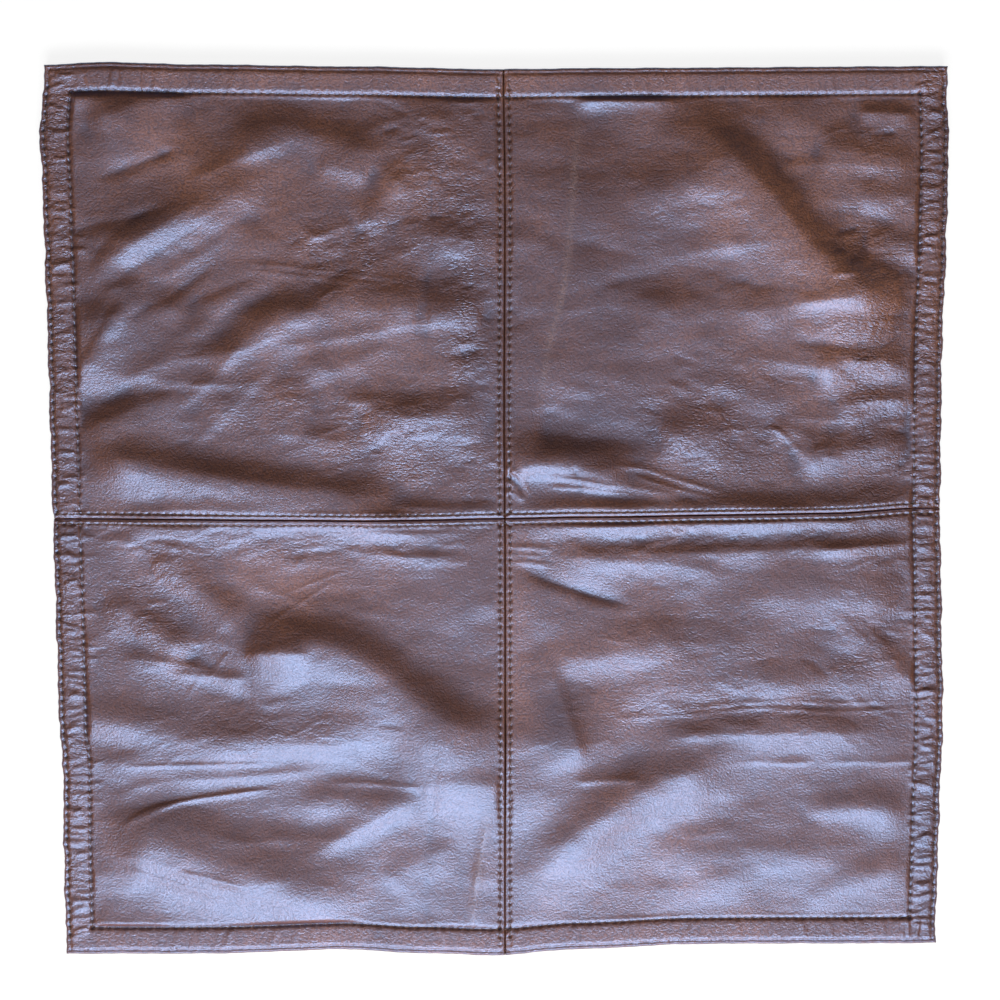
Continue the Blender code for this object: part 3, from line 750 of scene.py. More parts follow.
def scatter_creases(middle, half_size, turn, count, length, height, paint):
    """Short random creases inside one oval patch, and wrinkle paint under them."""
    away = ((GRID_X - middle[0]) / half_size[0]) ** 2 + ((GRID_Y - middle[1]) / half_size[1]) ** 2
    np.maximum(WRINKLES, WRINKLE_SHARE * paint * np.exp(-away), out=WRINKLES)
    for _ in range(count):
        line = short_line(middle, half_size, turn, CREASE_SPREAD, length, CREASE_BEND)
        lift = CREASE_LIFT * height * CHANCE.uniform(*CREASE_HEIGHTS) * CHANCE.choice(RIDGE_OR_GROOVE)
        width = CHANCE.uniform(*CREASE_WIDTHS)
        draw_fold(CREASES, lift, width * CREASE_LEAN, width, line, SHORT_LINE_STEPS)


for patch in CREASE_PATCHES:
    scatter_creases(*patch)
print("fine creases:", sum(patch[3] for patch in CREASE_PATCHES))

# %% Wrinkle paint of the borders
UPRIGHT_END_WRINKLE = 0.25
END_WRINKLE = 0.05
SIDE_WRINKLE = 0.45
FAR_LIVELINESS = 0.3
END_BORDER = (HALF - np.abs(GRID_Y) < BORDER_ROW) & (HALF - np.abs(GRID_X) > BORDER_ROW)
UPRIGHT_WRINKLES = np.where(END_BORDER, UPRIGHT_END_WRINKLE, 0.0)
WRINKLES[END_BORDER] = END_WRINKLE
SIDE_BORDER = HALF - np.abs(GRID_X) < BORDER_ROW
WRINKLES[SIDE_BORDER] = SIDE_WRINKLE
LIVELY = 1.0 + FAR_LIVELINESS * GRID_Y / HALF
WRINKLES *= LIVELY
CREASES *= LIVELY
print("wrinkle paint up to", round(WRINKLES.max(), 2))

# %% Soft unevenness of the hide
HIDE_WAVES = [
    # cell width, cell depth, height
    (60, 34, 0.55), (30, 18, 0.30), (15, 9, 0.13), (7, 4.5, 0.055), (3.6, 2.4, 0.024),
]


def soft_waves(cell_width, cell_depth):
    """Smooth random unevenness with cells of one size, by easing between random heights."""
    across = (MAT_X + HALF) / cell_width
    along = (MAT_Y + HALF) / cell_depth
    heights = CHANCE.normal(0, 1, (int(along.max()) + 3, int(across.max()) + 3))
    column = across.astype(int)
    row = along.astype(int)
    over = soft_step(across - column)
    up = soft_step(along - row)[:, None]
    near_row = heights[row][:, column] * (1 - over) + heights[row][:, column + 1] * over
    far_row = heights[row + 1][:, column] * (1 - over) + heights[row + 1][:, column + 1] * over
    return near_row * (1 - up) + far_row * up


UNEVEN = np.zeros(GRID_X.shape)
for cell_width, cell_depth, wave_height in HIDE_WAVES:
    UNEVEN += wave_height * soft_waves(cell_width, cell_depth)
UNEVEN *= LIVELY
print("unevenness:", round(UNEVEN.std(), 2), "mm")

# %% Puckers of the side borders
PUCKERS = np.zeros(GRID_X.shape)
STITCH_PITCH = 3.75
PUCKER_LINE_STEPS = 3
SIDE_PUCKER = 0.38
SIDE_STEPS = (0.25, 0.95)
SIDE_STARTS = (-1.6, 2.5)
SIDE_ENDS = [-3.0, -0.8, 1.5, 4.0, 8.0]
SIDE_END_ODDS = [0.25, 0.35, 0.22, 0.11, 0.07]
SIDE_RISE = 2.0
SIDE_BOW = 0.6
SIDE_HEIGHTS = (0.5, 1.5)
SIDE_SHARP = (0.4, 0.7)
SIDE_SOFT = (1.5, 2.5)


def pucker_side(side, height):
    """Short wrinkles across one side border, more than one for each stitch, some of them crossing."""
    place = -HALF + BORDER_ROW / 2
    while place < HALF - BORDER_ROW / 2:
        place += STITCH_PITCH * CHANCE.uniform(*SIDE_STEPS)
        start = EDGE_ROW + CHANCE.uniform(*SIDE_STARTS)
        end = BORDER_ROW + CHANCE.choice(SIDE_ENDS, p=SIDE_END_ODDS)
        rise = CHANCE.normal(0, SIDE_RISE)
        points = [
            (side * (HALF - start), place),
            (side * (HALF - (start + end) / 2), place + rise * SIDE_BOW),
            (side * (HALF - end), place + rise),
        ]
        if side > 0:
            points.reverse()
        lift = height * CHANCE.uniform(*SIDE_HEIGHTS)
        sharp = CHANCE.uniform(*SIDE_SHARP)
        soft = CHANCE.uniform(*SIDE_SOFT)
        draw_fold(PUCKERS, lift, sharp, soft, points, PUCKER_LINE_STEPS)


# %% Puckers of the end borders
END_PUCKER = 0.26
END_STEPS = (0.45, 0.9)
END_LEAN = 0.8
END_LEAN_SPREAD = 1.6
END_HEIGHTS = (0.4, 1.4)
END_REACH = 0.8
GATHER = 1.4
GATHER_RUN = 45.0


def pucker_end(side, height):
    """Fainter wrinkles across the far or near border, gathered at the far left and near right corners."""
    place = -HALF + BORDER_ROW
    while place < HALF - BORDER_ROW:
        place += STITCH_PITCH * CHANCE.uniform(*END_STEPS)
        lean = CHANCE.normal(END_LEAN, END_LEAN_SPREAD)
        points = [(place, side * (HALF - EDGE_ROW)), (place + lean, side * (HALF - BORDER_ROW))]
        gather = 1 + GATHER * math.exp(-((place + side * HALF) / GATHER_RUN) ** 2)
        lift = gather * height * CHANCE.uniform(*END_HEIGHTS)
        draw_fold(PUCKERS, lift, END_REACH, END_REACH, points, PUCKER_LINE_STEPS)


for side in (-1, 1):
    pucker_side(side, SIDE_PUCKER)
    pucker_end(side, END_PUCKER)
print("puckers up to", round(PUCKERS.max(), 2), "mm")

# %% [markdown]
# ## Uneven dye and painted shade
#
# Soft leather takes its dye unevenly: some patches are paler and redder, others are deeper, and a few thin
# lines are rubbed. Two of the deep patches are painted shade beside folds. A texture painted by hand could
# show this, but a list of oval patches and chalk lines on the same grid can be read and changed. Each panel
# carries its share of it as an attribute.

# %% Uneven dye, painted shade and rubbed lines
DYE_AND_SHADE_PATCHES = [
    # middle, half size, amount: above zero is paler and redder, below zero is deeper
    ((-108, 138), (26, 24), 0.6), ((-44, 149), (14, 18), 0.5), ((-55, 75), (26, 32), 0.35),
    ((-6, 70), (22, 70), -0.45), ((42, 84), (16, 48), -0.5), ((145, 122), (52, 56), 0.75),
    ((-100, -32), (60, 20), 0.4), ((52, -80), (28, 32), 0.50), ((74, -174), (34, 18), 0.60),
    ((0, -110), (400, 130), -0.2), ((-165, 90), (22, 60), -0.25), ((194, -150), (8, 60), -0.6),
    ((0, 195), (190, 6), 0.6), ((-10, -195), (170, 5), 0.4), ((8, -60), (7, 55), 0.45),
    ((70, 120), (30, 30), -0.40), ((100, 148), (20, 22), 0.5), ((150, 90), (30, 22), 0.4),
    # the deep patches at (44, 38) and (26, -93) are painted shade beside the folds there
    ((-75, -30), (30, 12), 0.4), ((44, 38), (26, 11), -0.9), ((26, -93), (9, 16), -0.8),
    ((-150, 162), (26, 18), 0.5),
]
RUBBED_LINES = [
    # amount, half width, points
    (0.9, 1.4, [(36, 192), (33, 150), (29, 105), (22, 75), (18, 44)]),
    (0.8, 1.8, [(-3, -122), (-8, -150), (-11, -170), (-13, -196)]),
]
DYE_AND_SHADE = np.zeros(GRID_X.shape)
for middle, half_size, amount in DYE_AND_SHADE_PATCHES:
    away = ((GRID_X - middle[0]) / half_size[0]) ** 2 + ((GRID_Y - middle[1]) / half_size[1]) ** 2
    DYE_AND_SHADE += amount * np.exp(-away)
RUBBED = np.zeros(GRID_X.shape)
for amount, half_width, points in RUBBED_LINES:
    draw_fold(RUBBED, amount, half_width, half_width, points)
print("dye from", round(DYE_AND_SHADE.min(), 2), "to", round(DYE_AND_SHADE.max(), 2))

# %% [markdown]
# ## Rows of stitches in the flat
#
# Before the panels are meshed, the rows have to be known, because every needle hole dents the leather. A dent
# catches the light, and the crease attribute also paints shade into each hole. A row is a straight run in
# flat coordinates. One stitch lies in the middle of each step and the holes are between the steps.

# %% Runs of every visible row
ROW_END = 1.4
ROW_STOP = 0.9


def square_runs(inset):
    """The four sides of a row that runs round the mat."""
    reach = HALF - inset
    return [((-reach, -reach), (reach, -reach)), ((-reach, reach), (reach, reach)),
            ((-reach, -reach), (-reach, reach)), ((reach, -reach), (reach, reach))]


def across_run(y):
    """A row from the left edge to the right edge."""
    return [((-HALF + ROW_END, y), (HALF - ROW_END, y))]


def along_run(x, start, end):
    """A row from a near point to a far point."""
    return [((x, start), (x, end))]


SEAM_CLEAR = TOPSTITCH_ROW + ROW_STOP
FACE_ROWS = {
    "edge_row_face": square_runs(EDGE_ROW),
    "border_row_face": square_runs(BORDER_ROW),
    "topstitch_cross_rear": across_run(SEAM_Y + TOPSTITCH_ROW),
    "topstitch_cross_near": across_run(SEAM_Y - TOPSTITCH_ROW),
    "topstitch_rear_left": along_run(SEAM_X - TOPSTITCH_ROW, SEAM_Y + SEAM_CLEAR, HALF - ROW_END),
    "topstitch_rear_right": along_run(SEAM_X + TOPSTITCH_ROW, SEAM_Y + SEAM_CLEAR, HALF - ROW_END),
    "topstitch_near_left": along_run(SEAM_X - TOPSTITCH_ROW, -HALF + ROW_END, SEAM_Y - SEAM_CLEAR),
    "topstitch_near_right": along_run(SEAM_X + TOPSTITCH_ROW, -HALF + ROW_END, SEAM_Y - SEAM_CLEAR),
}


def steps_of(run, pitch=STITCH_PITCH):
    """Stitch middles and needle holes of one run, as two lists of flat points."""
    start, end = np.array(run, float)
    count = max(1, round(np.linalg.norm(end - start) / pitch))
    middles = start + (end - start) * ((np.arange(count) + 0.5) / count)[:, None]
    holes = start + (end - start) * (np.arange(count + 1) / count)[:, None]
    return middles, holes


print("visible rows:", len(FACE_ROWS))

# %% Needle holes
HOLES = np.zeros(GRID_X.shape)
HOLE_DEPTH = 0.75
SHALLOW_HOLE = 0.2
HOLE_REACH = 0.8
DENT_MARGIN = 2.5


def dent(relief, spot, depth, reach):
    """A round dent in a relief."""
    margin = DENT_MARGIN * reach
    columns = slice(*np.searchsorted(MAT_X, (spot[0] - margin, spot[0] + margin)))
    rows = slice(*np.searchsorted(MAT_Y, (spot[1] - margin, spot[1] + margin)))
    away = (GRID_X[rows, columns] - spot[0]) ** 2 + (GRID_Y[rows, columns] - spot[1]) ** 2
    relief[rows, columns] -= depth * np.exp(-away / reach ** 2)


hole_count = 0
for runs in FACE_ROWS.values():
    for run in runs:
        for spot in steps_of(run)[1]:
            at_end_edge = abs(spot[1]) > HALF - BORDER_ROW / 2
            dent(HOLES, spot, SHALLOW_HOLE if at_end_edge else HOLE_DEPTH, HOLE_REACH)
            hole_count += 1
SURFACE = SEWN + FOLDS * INSIDE + (CREASES + UNEVEN) * FIELD + PUCKERS + HOLES
print("needle holes:", hole_count)
print("surface from", round(SURFACE.min(), 2), "to", round(SURFACE.max(), 2), "mm")

# %% [markdown]
# ## Finish of the face
#
# The face is semi-gloss leather: a warm brown dye under a thin clear dressing. Four things make it look like
# leather and not like plastic. The dye is cloudy, with paler and deeper patches and a few rubbed lines that
# each panel carries as painted attributes; two of the deep patches are painted shade. Shade is also painted
# into the colour in the pits of the grain and in hollows and needle holes, which a crease attribute marks.
# The gloss is broken by a pebbled grain, and its blue tint is a painted sky colour in the reflections. And
# where the leather was crumpled it has wrinkled cells, longer than they are wide. Image textures could hold
# all of this, but nodes on the piece's own coordinates keep their real size and stay sharp from near and far.

# %% Nodes that the finishes share
FULL_RANGE = (0.0, 1.0)


def new_finish(name):
    """An empty node material with its shader and output joined."""
    finish = bpy.data.materials.new(name)
    finish.use_nodes = True
    tree = finish.node_tree
    tree.nodes.clear()
    output = new_node(tree, "ShaderNodeOutputMaterial")
    shader = new_node(tree, "ShaderNodeBsdfPrincipled")
    tree.links.new(shader.outputs["BSDF"], output.inputs["Surface"])
    return finish, tree, shader


def noise(tree, place, scale, detail, roughness):
    """A noise texture on the piece's own coordinates, with its scale in cells for each metre."""
    texture = new_node(tree, "ShaderNodeTexNoise")
    texture.inputs["Scale"].default_value = scale
    texture.inputs["Detail"].default_value = detail
    texture.inputs["Roughness"].default_value = roughness
    tree.links.new(place, texture.inputs["Vector"])
    return texture.outputs["Fac"]


def painted(tree, title):
    """The value that a panel carries under one attribute name."""
    return new_node(tree, "ShaderNodeAttribute", attribute_name=title).outputs["Fac"]


def ranged(tree, value, low, high, new_low, new_high):
    """Map a value from one range to another."""
    mapper = new_node(tree, "ShaderNodeMapRange")
    for name, number in (("From Min", low), ("From Max", high), ("To Min", new_low), ("To Max", new_high)):
        mapper.inputs[name].default_value = number
    tree.links.new(value, mapper.inputs["Value"])
    return mapper.outputs["Result"]


def bumped(tree, height, distance, below=None, strength=1.0):
    """A bump of real depth, laid over another bump where one is given."""
    bump = new_node(tree, "ShaderNodeBump")
    bump.inputs["Distance"].default_value = distance
    bump.inputs["Strength"].default_value = strength
    tree.links.new(height, bump.inputs["Height"])
    if below is not None:
        tree.links.new(below, bump.inputs["Normal"])
    return bump.outputs["Normal"]


def colour_steps(tree, value, steps):
    """A colour ramp through a few named colours."""
    ramp = new_node(tree, "ShaderNodeValToRGB")
    elements = ramp.color_ramp.elements
    while len(elements) < len(steps):
        elements.new(0.5)
    for element, (position, colour) in zip(elements, steps):
        element.position = position
        element.color = colour
    tree.links.new(value, ramp.inputs["Fac"])
    return ramp.outputs["Color"]


def mixed(tree, share, first, second):
    """Mix two colours by a share."""
    mixer = new_node(tree, "ShaderNodeMix", data_type="RGBA")
    tree.links.new(share, mixer.inputs[0])
    for value, socket in ((first, mixer.inputs[6]), (second, mixer.inputs[7])):
        if isinstance(value, tuple):
            socket.default_value = value
        else:
            tree.links.new(value, socket)
    return mixer.outputs[2]


def times(tree, first, second):
    """Product of two values."""
    product = new_node(tree, "ShaderNodeMath", operation="MULTIPLY")
    tree.links.new(first, product.inputs[0])
    tree.links.new(second, product.inputs[1])
    return product.outputs["Value"]


print("finishes are made of nodes in metres, on each piece's own coordinates")

# %% Wrinkled cells
WRINKLE_RUNS = [
    # attribute, turn in degrees, cells for each metre, depth in metres
    ("wrinkle", -8, (360.0, 820.0, 360.0), 0.00011),
    ("wrinkle", 17, (250.0, 560.0, 250.0), 0.00015),
    ("upright_wrinkle", 82, (250.0, 600.0, 250.0), 0.00016),
]
WRINKLE_EDGE = 0.28
WRINKLE_PUSH = 260.0
WRINKLE_WARP = 0.0018
# noise, here and below: cells for each metre, detail and roughness
CLUSTER = (90.0, 3.0, 0.6)
CLUSTER_RANGE = (0.35, 0.65)
CLUSTER_SHARE = (0.35, 1.4)


def pushed_about(tree, place, scale, reach):
    """The same coordinates, pushed about by a noise so that cells on them look grown and not cut."""
    push = new_node(tree, "ShaderNodeTexNoise", noise_dimensions="2D")
    push.inputs["Scale"].default_value = scale
    tree.links.new(place, push.inputs["Vector"])
    moved = new_node(tree, "ShaderNodeVectorMath", operation="MULTIPLY_ADD")
    moved.inputs[1].default_value = (reach, reach, 0.0)
    tree.links.new(push.outputs["Color"], moved.inputs[0])
    tree.links.new(place, moved.inputs[2])
    return moved.outputs["Vector"]


def wrinkle_cells(tree, place, turn, stretch):
    """Long flat cells of wrinkled leather, high in the middle and low at their edges."""
    laid = new_node(tree, "ShaderNodeMapping")
    laid.inputs["Rotation"].default_value[2] = math.radians(turn)
    laid.inputs["Scale"].default_value = stretch
    tree.links.new(place, laid.inputs["Vector"])
    cells = new_node(tree, "ShaderNodeTexVoronoi", feature="DISTANCE_TO_EDGE", voronoi_dimensions="2D")
    cells.inputs["Scale"].default_value = 1.0
    tree.links.new(laid.outputs["Vector"], cells.inputs["Vector"])
    return ranged(tree, cells.outputs["Distance"], 0.0, WRINKLE_EDGE, *FULL_RANGE)


def wrinkled(tree, place):
    """Bumps of the wrinkled cells, in clusters, where the panel is painted with them."""
    cluster = noise(tree, place, *CLUSTER)
    clustered = ranged(tree, cluster, *CLUSTER_RANGE, *CLUSTER_SHARE)
    grown = pushed_about(tree, place, WRINKLE_PUSH, WRINKLE_WARP)
    surface = None
    for title, turn, stretch, depth in WRINKLE_RUNS:
        share = times(tree, painted(tree, title), clustered)
        height = times(tree, wrinkle_cells(tree, grown, turn, stretch), share)
        surface = bumped(tree, height, depth, surface)
    return surface


print("layers of wrinkled cells:", len(WRINKLE_RUNS))

# %% Leather of the face
# painted shade: this dark colour is mixed in where the grain has pits and the surface has hollows and needle
# holes
LEATHER_SHADE = (0.085, 0.029, 0.011, 1.0)
LEATHER_DEEP = (0.150, 0.053, 0.020, 1.0)
LEATHER_MIDDLE = (0.255, 0.094, 0.037, 1.0)
LEATHER_PALE = (0.460, 0.178, 0.074, 1.0)
LEATHER_RUBBED = (0.330, 0.165, 0.098, 1.0)
FACE_DYE = [(0.0, LEATHER_DEEP), (0.5, LEATHER_MIDDLE), (1.0, LEATHER_PALE)]
DYE_RANGE = (-1.0, 1.0)
CLOUD = (42.0, 5.0, 0.62)
CLOUD_RANGE = (0.3, 0.7)
CLOUD_SHIFT = (-0.22, 0.22)
GRAIN = (1050.0, 2.0, 0.6)
GRAIN_DEPTH = 0.00025
GRAIN_RANGE = (0.35, 0.65)
PIT_RANGE = (0.60, 0.38)
PIT_SHADE = (0.0, 0.6)
HOLLOW_RANGE = (0.2, 1.0)
HOLLOW_SHADE = (0.0, 0.8)
FACE_ROUGHNESS = (0.42, 0.36)
FACE_GLOSS = 1.0
# painted reflection colour: the blue tint stands for a blue sky mirrored in the gloss, as the lamps are white
SKY_BLUE_GLOSS_TINT = (0.38, 0.59, 1.0, 1.0)
GLOSS_INDEX = 2.0


def face_dye_and_shade(tree, place, grain):
    """Cloudy brown dye, paler along rubbed lines, with painted shade in the pits of the grain, in hollows and
    in two deep patches.
    """
    cloud = noise(tree, place, *CLOUD)
    patchy = new_node(tree, "ShaderNodeMath", operation="ADD")
    # the dye attribute also carries two patches of painted shade
    tree.links.new(ranged(tree, painted(tree, "dye"), *DYE_RANGE, *FULL_RANGE), patchy.inputs[0])
    tree.links.new(ranged(tree, cloud, *CLOUD_RANGE, *CLOUD_SHIFT), patchy.inputs[1])
    dye = colour_steps(tree, patchy.outputs["Value"], FACE_DYE)
    dye = mixed(tree, painted(tree, "rubbed"), dye, LEATHER_RUBBED)
    # painted shade in the pits of the grain, and in hollows and needle holes
    dye = mixed(tree, ranged(tree, grain, *PIT_RANGE, *PIT_SHADE), dye, LEATHER_SHADE)
    hollow_shade_share = ranged(tree, painted(tree, "crease_shade"), *HOLLOW_RANGE, *HOLLOW_SHADE)
    return mixed(tree, hollow_shade_share, dye, LEATHER_SHADE)


def face_leather():
    """Semi-gloss brown leather with fine grain, wrinkled cells and painted shade in needle holes and hollows.
    """
    finish, tree, shader = new_finish("face_leather")
    place = new_node(tree, "ShaderNodeTexCoord").outputs["Object"]
    grain = noise(tree, place, *GRAIN)
    tree.links.new(face_dye_and_shade(tree, place, grain), shader.inputs["Base Color"])
    tree.links.new(ranged(tree, grain, *GRAIN_RANGE, *FACE_ROUGHNESS), shader.inputs["Roughness"])
    shader.inputs["IOR"].default_value = GLOSS_INDEX
    shader.inputs["Specular IOR Level"].default_value = FACE_GLOSS
    shader.inputs["Specular Tint"].default_value = SKY_BLUE_GLOSS_TINT
    surface = bumped(tree, grain, GRAIN_DEPTH, wrinkled(tree, place))
    tree.links.new(surface, shader.inputs["Normal"])
    return finish


FACE_FINISH = face_leather()
print("made", FACE_FINISH.name)

# %% [markdown]
# ## Finishes of the backing and the thread
#
# The backing is a matt, brushed hide with a short nap. Fine hair would be closer to a real nap, but it hardly
# shows from a hand's breadth away, so a fine noise roughens the surface and a little sheen lightens its
# edges. The thread is spun brown thread. Its plies could be twisted in the mesh, but on almost three thousand
# stitches that costs far more than it shows, so a very fine noise stands for the twist.

# %% Leather of the backing
BACKING_DARK = (0.070, 0.036, 0.025, 1.0)
BACKING_PALE = (0.165, 0.095, 0.066, 1.0)
BACKING_DYE = [(0.32, BACKING_DARK), (0.70, BACKING_PALE)]
BACKING_CLOUD = (30.0, 5.0, 0.6)
NAP = (1400.0, 3.0, 0.7)
NAP_DEPTH = 0.00015
NAP_STRENGTH = 0.5
NAP_RANGE = (0.35, 0.65)
NAP_SHADE = (0.0, 0.45)
NAP_WIDE_RANGE = (0.3, 0.7)
BACKING_ROUGHNESS = (0.72, 0.92)
BACKING_GLOSS = 0.25
BACKING_SHEEN = 0.15


def backing_leather():
    """Matt brushed leather, with a short nap and cloudy colour."""
    finish, tree, shader = new_finish("backing_leather")
    place = new_node(tree, "ShaderNodeTexCoord").outputs["Object"]
    cloud = noise(tree, place, *BACKING_CLOUD)
    nap = noise(tree, place, *NAP)
    dye = colour_steps(tree, cloud, BACKING_DYE)
    dye = mixed(tree, ranged(tree, nap, *NAP_RANGE, *NAP_SHADE), dye, BACKING_DARK)
    tree.links.new(dye, shader.inputs["Base Color"])
    tree.links.new(ranged(tree, nap, *NAP_WIDE_RANGE, *BACKING_ROUGHNESS), shader.inputs["Roughness"])
    shader.inputs["Specular IOR Level"].default_value = BACKING_GLOSS
    shader.inputs["Sheen Weight"].default_value = BACKING_SHEEN
    surface = bumped(tree, nap, NAP_DEPTH, strength=NAP_STRENGTH)
    tree.links.new(surface, shader.inputs["Normal"])
    return finish


BACKING_FINISH = backing_leather()
print("made", BACKING_FINISH.name)

# %% Thread
THREAD_DARK = (0.060, 0.035, 0.026, 1.0)
THREAD_PALE = (0.210, 0.140, 0.115, 1.0)
THREAD_DYE = [(0.35, THREAD_DARK), (0.65, THREAD_PALE)]
TWIST = (5200.0, 2.0, 0.5)
TWIST_DEPTH = 0.00008
TWIST_STRENGTH = 0.6
TWIST_RANGE = (0.3, 0.7)
THREAD_ROUGHNESS = (0.45, 0.65)
THREAD_GLOSS = 0.2


def spun_thread():
    """Brown spun thread with a fine twist and a low shine."""
    finish, tree, shader = new_finish("thread")
    place = new_node(tree, "ShaderNodeTexCoord").outputs["Object"]
    twist = noise(tree, place, *TWIST)
    tree.links.new(colour_steps(tree, twist, THREAD_DYE), shader.inputs["Base Color"])
    tree.links.new(ranged(tree, twist, *TWIST_RANGE, *THREAD_ROUGHNESS), shader.inputs["Roughness"])
    shader.inputs["Specular IOR Level"].default_value = THREAD_GLOSS
    surface = bumped(tree, twist, TWIST_DEPTH, strength=TWIST_STRENGTH)
    tree.links.new(surface, shader.inputs["Normal"])
    return finish


THREAD_FINISH = spun_thread()
print("made", THREAD_FINISH.name)

# %% [markdown]
# ## A sheet with turned edges
#
# Every panel is one piece of leather whose four edges are turned under. Blender's Solidify would give it
# thickness but double the fine mesh, so the sheet is built as a closed skin: a fine outer surface, a rolled
# fold, the turned hem below it, the cut edge of the leather, and a coarser inner skin with a quarter of the
# lines. The same function makes a face panel, which looks up, and a backing piece, which looks down.

# %% Rim and inner skin of a sheet
def rim_indices(columns, rows):
    """Grid points round the rim of a grid, anticlockwise from the near left corner."""
    near = [(0, i) for i in range(columns - 1)]
    right = [(j, columns - 1) for j in range(rows - 1)]
    far = [(rows - 1, i) for i in range(columns - 1, 0, -1)]
    left = [(j, 0) for j in range(rows - 1, 0, -1)]
    rim = np.array(near + right + far + left)
    return rim[:, 0], rim[:, 1]


def lowest_around(height, skip):
    """Lowest height round every coarse grid point, so that the inner skin stays below the outer one."""
    padded = np.pad(height, skip, mode="edge")
    lowest = np.full(height[::skip, ::skip].shape, np.inf)
    for down in range(0, 2 * skip + 1):
        for over in range(0, 2 * skip + 1):
            part = padded[down:down + height.shape[0]:skip, over:over + height.shape[1]:skip]
            lowest = np.minimum(lowest, part)
    return lowest


print("the inner skin has one line for every", INNER_SKIP, "of the outer surface")

# %% Closed skin with turned edges
FOLD_STEPS = 6
LEAST_FOLD = 0.1


def turned_sheet(x_lines, y_lines, outer_height, looks_up, hem_level, leather, reaches, hems):
    """Flat points and faces of a leather sheet with all four edges turned to the hem level. The fold's
    reach and the hem are given for the left, right, near and far edge."""
    sign = 1 if looks_up else -1
    rows, columns = outer_height.shape
    grid_x, grid_y = np.meshgrid(x_lines, y_lines)
    rim_row, rim_column = rim_indices(columns, rows)
    rim_x = grid_x[rim_row, rim_column]
    rim_y = grid_y[rim_row, rim_column]
    rim_z = outer_height[rim_row, rim_column]
    left, right, near, far = hems

    def ring(outward, inward_share, height):
        """One loop of the rim, moved outward in the fold or inward along the hem."""
        low_x = x_lines[0] - outward[0] + inward_share * left
        high_x = x_lines[-1] + outward[1] - inward_share * right
        low_y = y_lines[0] - outward[2] + inward_share * near
        high_y = y_lines[-1] + outward[3] - inward_share * far
        share_x = (rim_x - x_lines[0]) / (x_lines[-1] - x_lines[0])
        share_y = (rim_y - y_lines[0]) / (y_lines[-1] - y_lines[0])
        return np.stack([low_x + (high_x - low_x) * share_x, low_y + (high_y - low_y) * share_y,
                         np.broadcast_to(height, rim_x.shape)], axis=1)

    skins = [np.stack([grid_x, grid_y, outer_height], axis=2).reshape(-1, 3)]
    faces = []
    index = np.arange(rows * columns).reshape(rows, columns)
    quads = np.stack([index[:-1, :-1], index[:-1, 1:], index[1:, 1:], index[1:, :-1]], axis=2).reshape(-1, 4)
    faces.extend(quads.tolist())
    total = rows * columns
    loop = index[rim_row, rim_column]

    def join(first, second):
        """Faces between two loops of the same length."""
        after_first = np.roll(first, -1)
        after_second = np.roll(second, -1)
        faces.extend(np.stack([first, second, after_second, after_first], axis=1).tolist())

    fold_angles = np.pi * np.arange(1, FOLD_STEPS + 1) / FOLD_STEPS
    reaches = np.array(reaches)
    no_reach = np.zeros(4)
    outer_rings = [ring(reaches * math.sin(a), 0.0, rim_z + (hem_level - rim_z) * (1 - math.cos(a)) / 2)
                   for a in fold_angles]
    outer_rings.append(ring(no_reach, 1.0, hem_level))
    for points in outer_rings:
        skins.append(points)
        following = np.arange(total, total + len(points))
        join(loop, following)
        loop = following
        total += len(points)

    inner_reaches = np.maximum(reaches - leather, LEAST_FOLD)
    inner_top = rim_z - sign * leather
    inner_hem = hem_level + sign * leather
    inner_rings = [ring(no_reach, 1.0, inner_hem), ring(no_reach, 0.0, inner_hem),
                   ring(inner_reaches, 0.0, (inner_top + inner_hem) / 2)]
    coarse_count = len(rim_x) // INNER_SKIP
    raw_edge = loop
    loop = np.arange(total, total + coarse_count)
    skins.append(inner_rings[0][::INNER_SKIP])
    total += coarse_count
    for k in range(coarse_count):
        fine = [int(raw_edge[(k * INNER_SKIP + step) % len(raw_edge)]) for step in range(INNER_SKIP + 1)]
        faces.append([fine[0]] + [int(loop[k]), int(loop[(k + 1) % coarse_count])] + fine[:0:-1])
    for points in inner_rings[1:]:
        skins.append(points[::INNER_SKIP])
        following = np.arange(total, total + coarse_count)
        join(loop, following)
        loop = following
        total += coarse_count

    extreme = sign * lowest_around(sign * outer_height, INNER_SKIP) - sign * leather
    coarse_rows, coarse_columns = extreme.shape
    skins.append(np.stack([grid_x[::INNER_SKIP, ::INNER_SKIP], grid_y[::INNER_SKIP, ::INNER_SKIP], extreme],
                          axis=2).reshape(-1, 3))
    index = total + np.arange(coarse_rows * coarse_columns).reshape(coarse_rows, coarse_columns)
    inner_row, inner_column = rim_indices(coarse_columns, coarse_rows)
    join(loop, index[inner_row, inner_column])
    quads = np.stack([index[:-1, :-1], index[1:, :-1], index[1:, 1:], index[:-1, 1:]], axis=2).reshape(-1, 4)
    faces.extend(quads.tolist())
    if not looks_up:
        faces = [face[::-1] for face in faces]
    return np.vstack(skins), faces


print("a turned edge is rolled in", FOLD_STEPS, "steps")


# %% Sheet as an object
def sheet_object(name, points, faces, finish, paints):
    """A mesh object of a sheet, laid on the desk, with its paints on the outer surface."""
    x, y = lie(points[:, 0], points[:, 1])
    mesh = bpy.data.meshes.new(name)
    mesh.from_pydata((np.stack([x, y, points[:, 2]], axis=1) * MM).tolist(), [], faces)
    mesh.polygons.foreach_set("use_smooth", [True] * len(mesh.polygons))
    for title, paint in paints.items():
        values = np.zeros(len(points))
        values[:paint.size] = paint.ravel()
        attribute = mesh.attributes.new(title, "FLOAT", "POINT")
        attribute.data.foreach_set("value", values)
    mesh.materials.append(finish)
    piece = bpy.data.objects.new(name, mesh)
    SCENE.collection.objects.link(piece)
    return piece


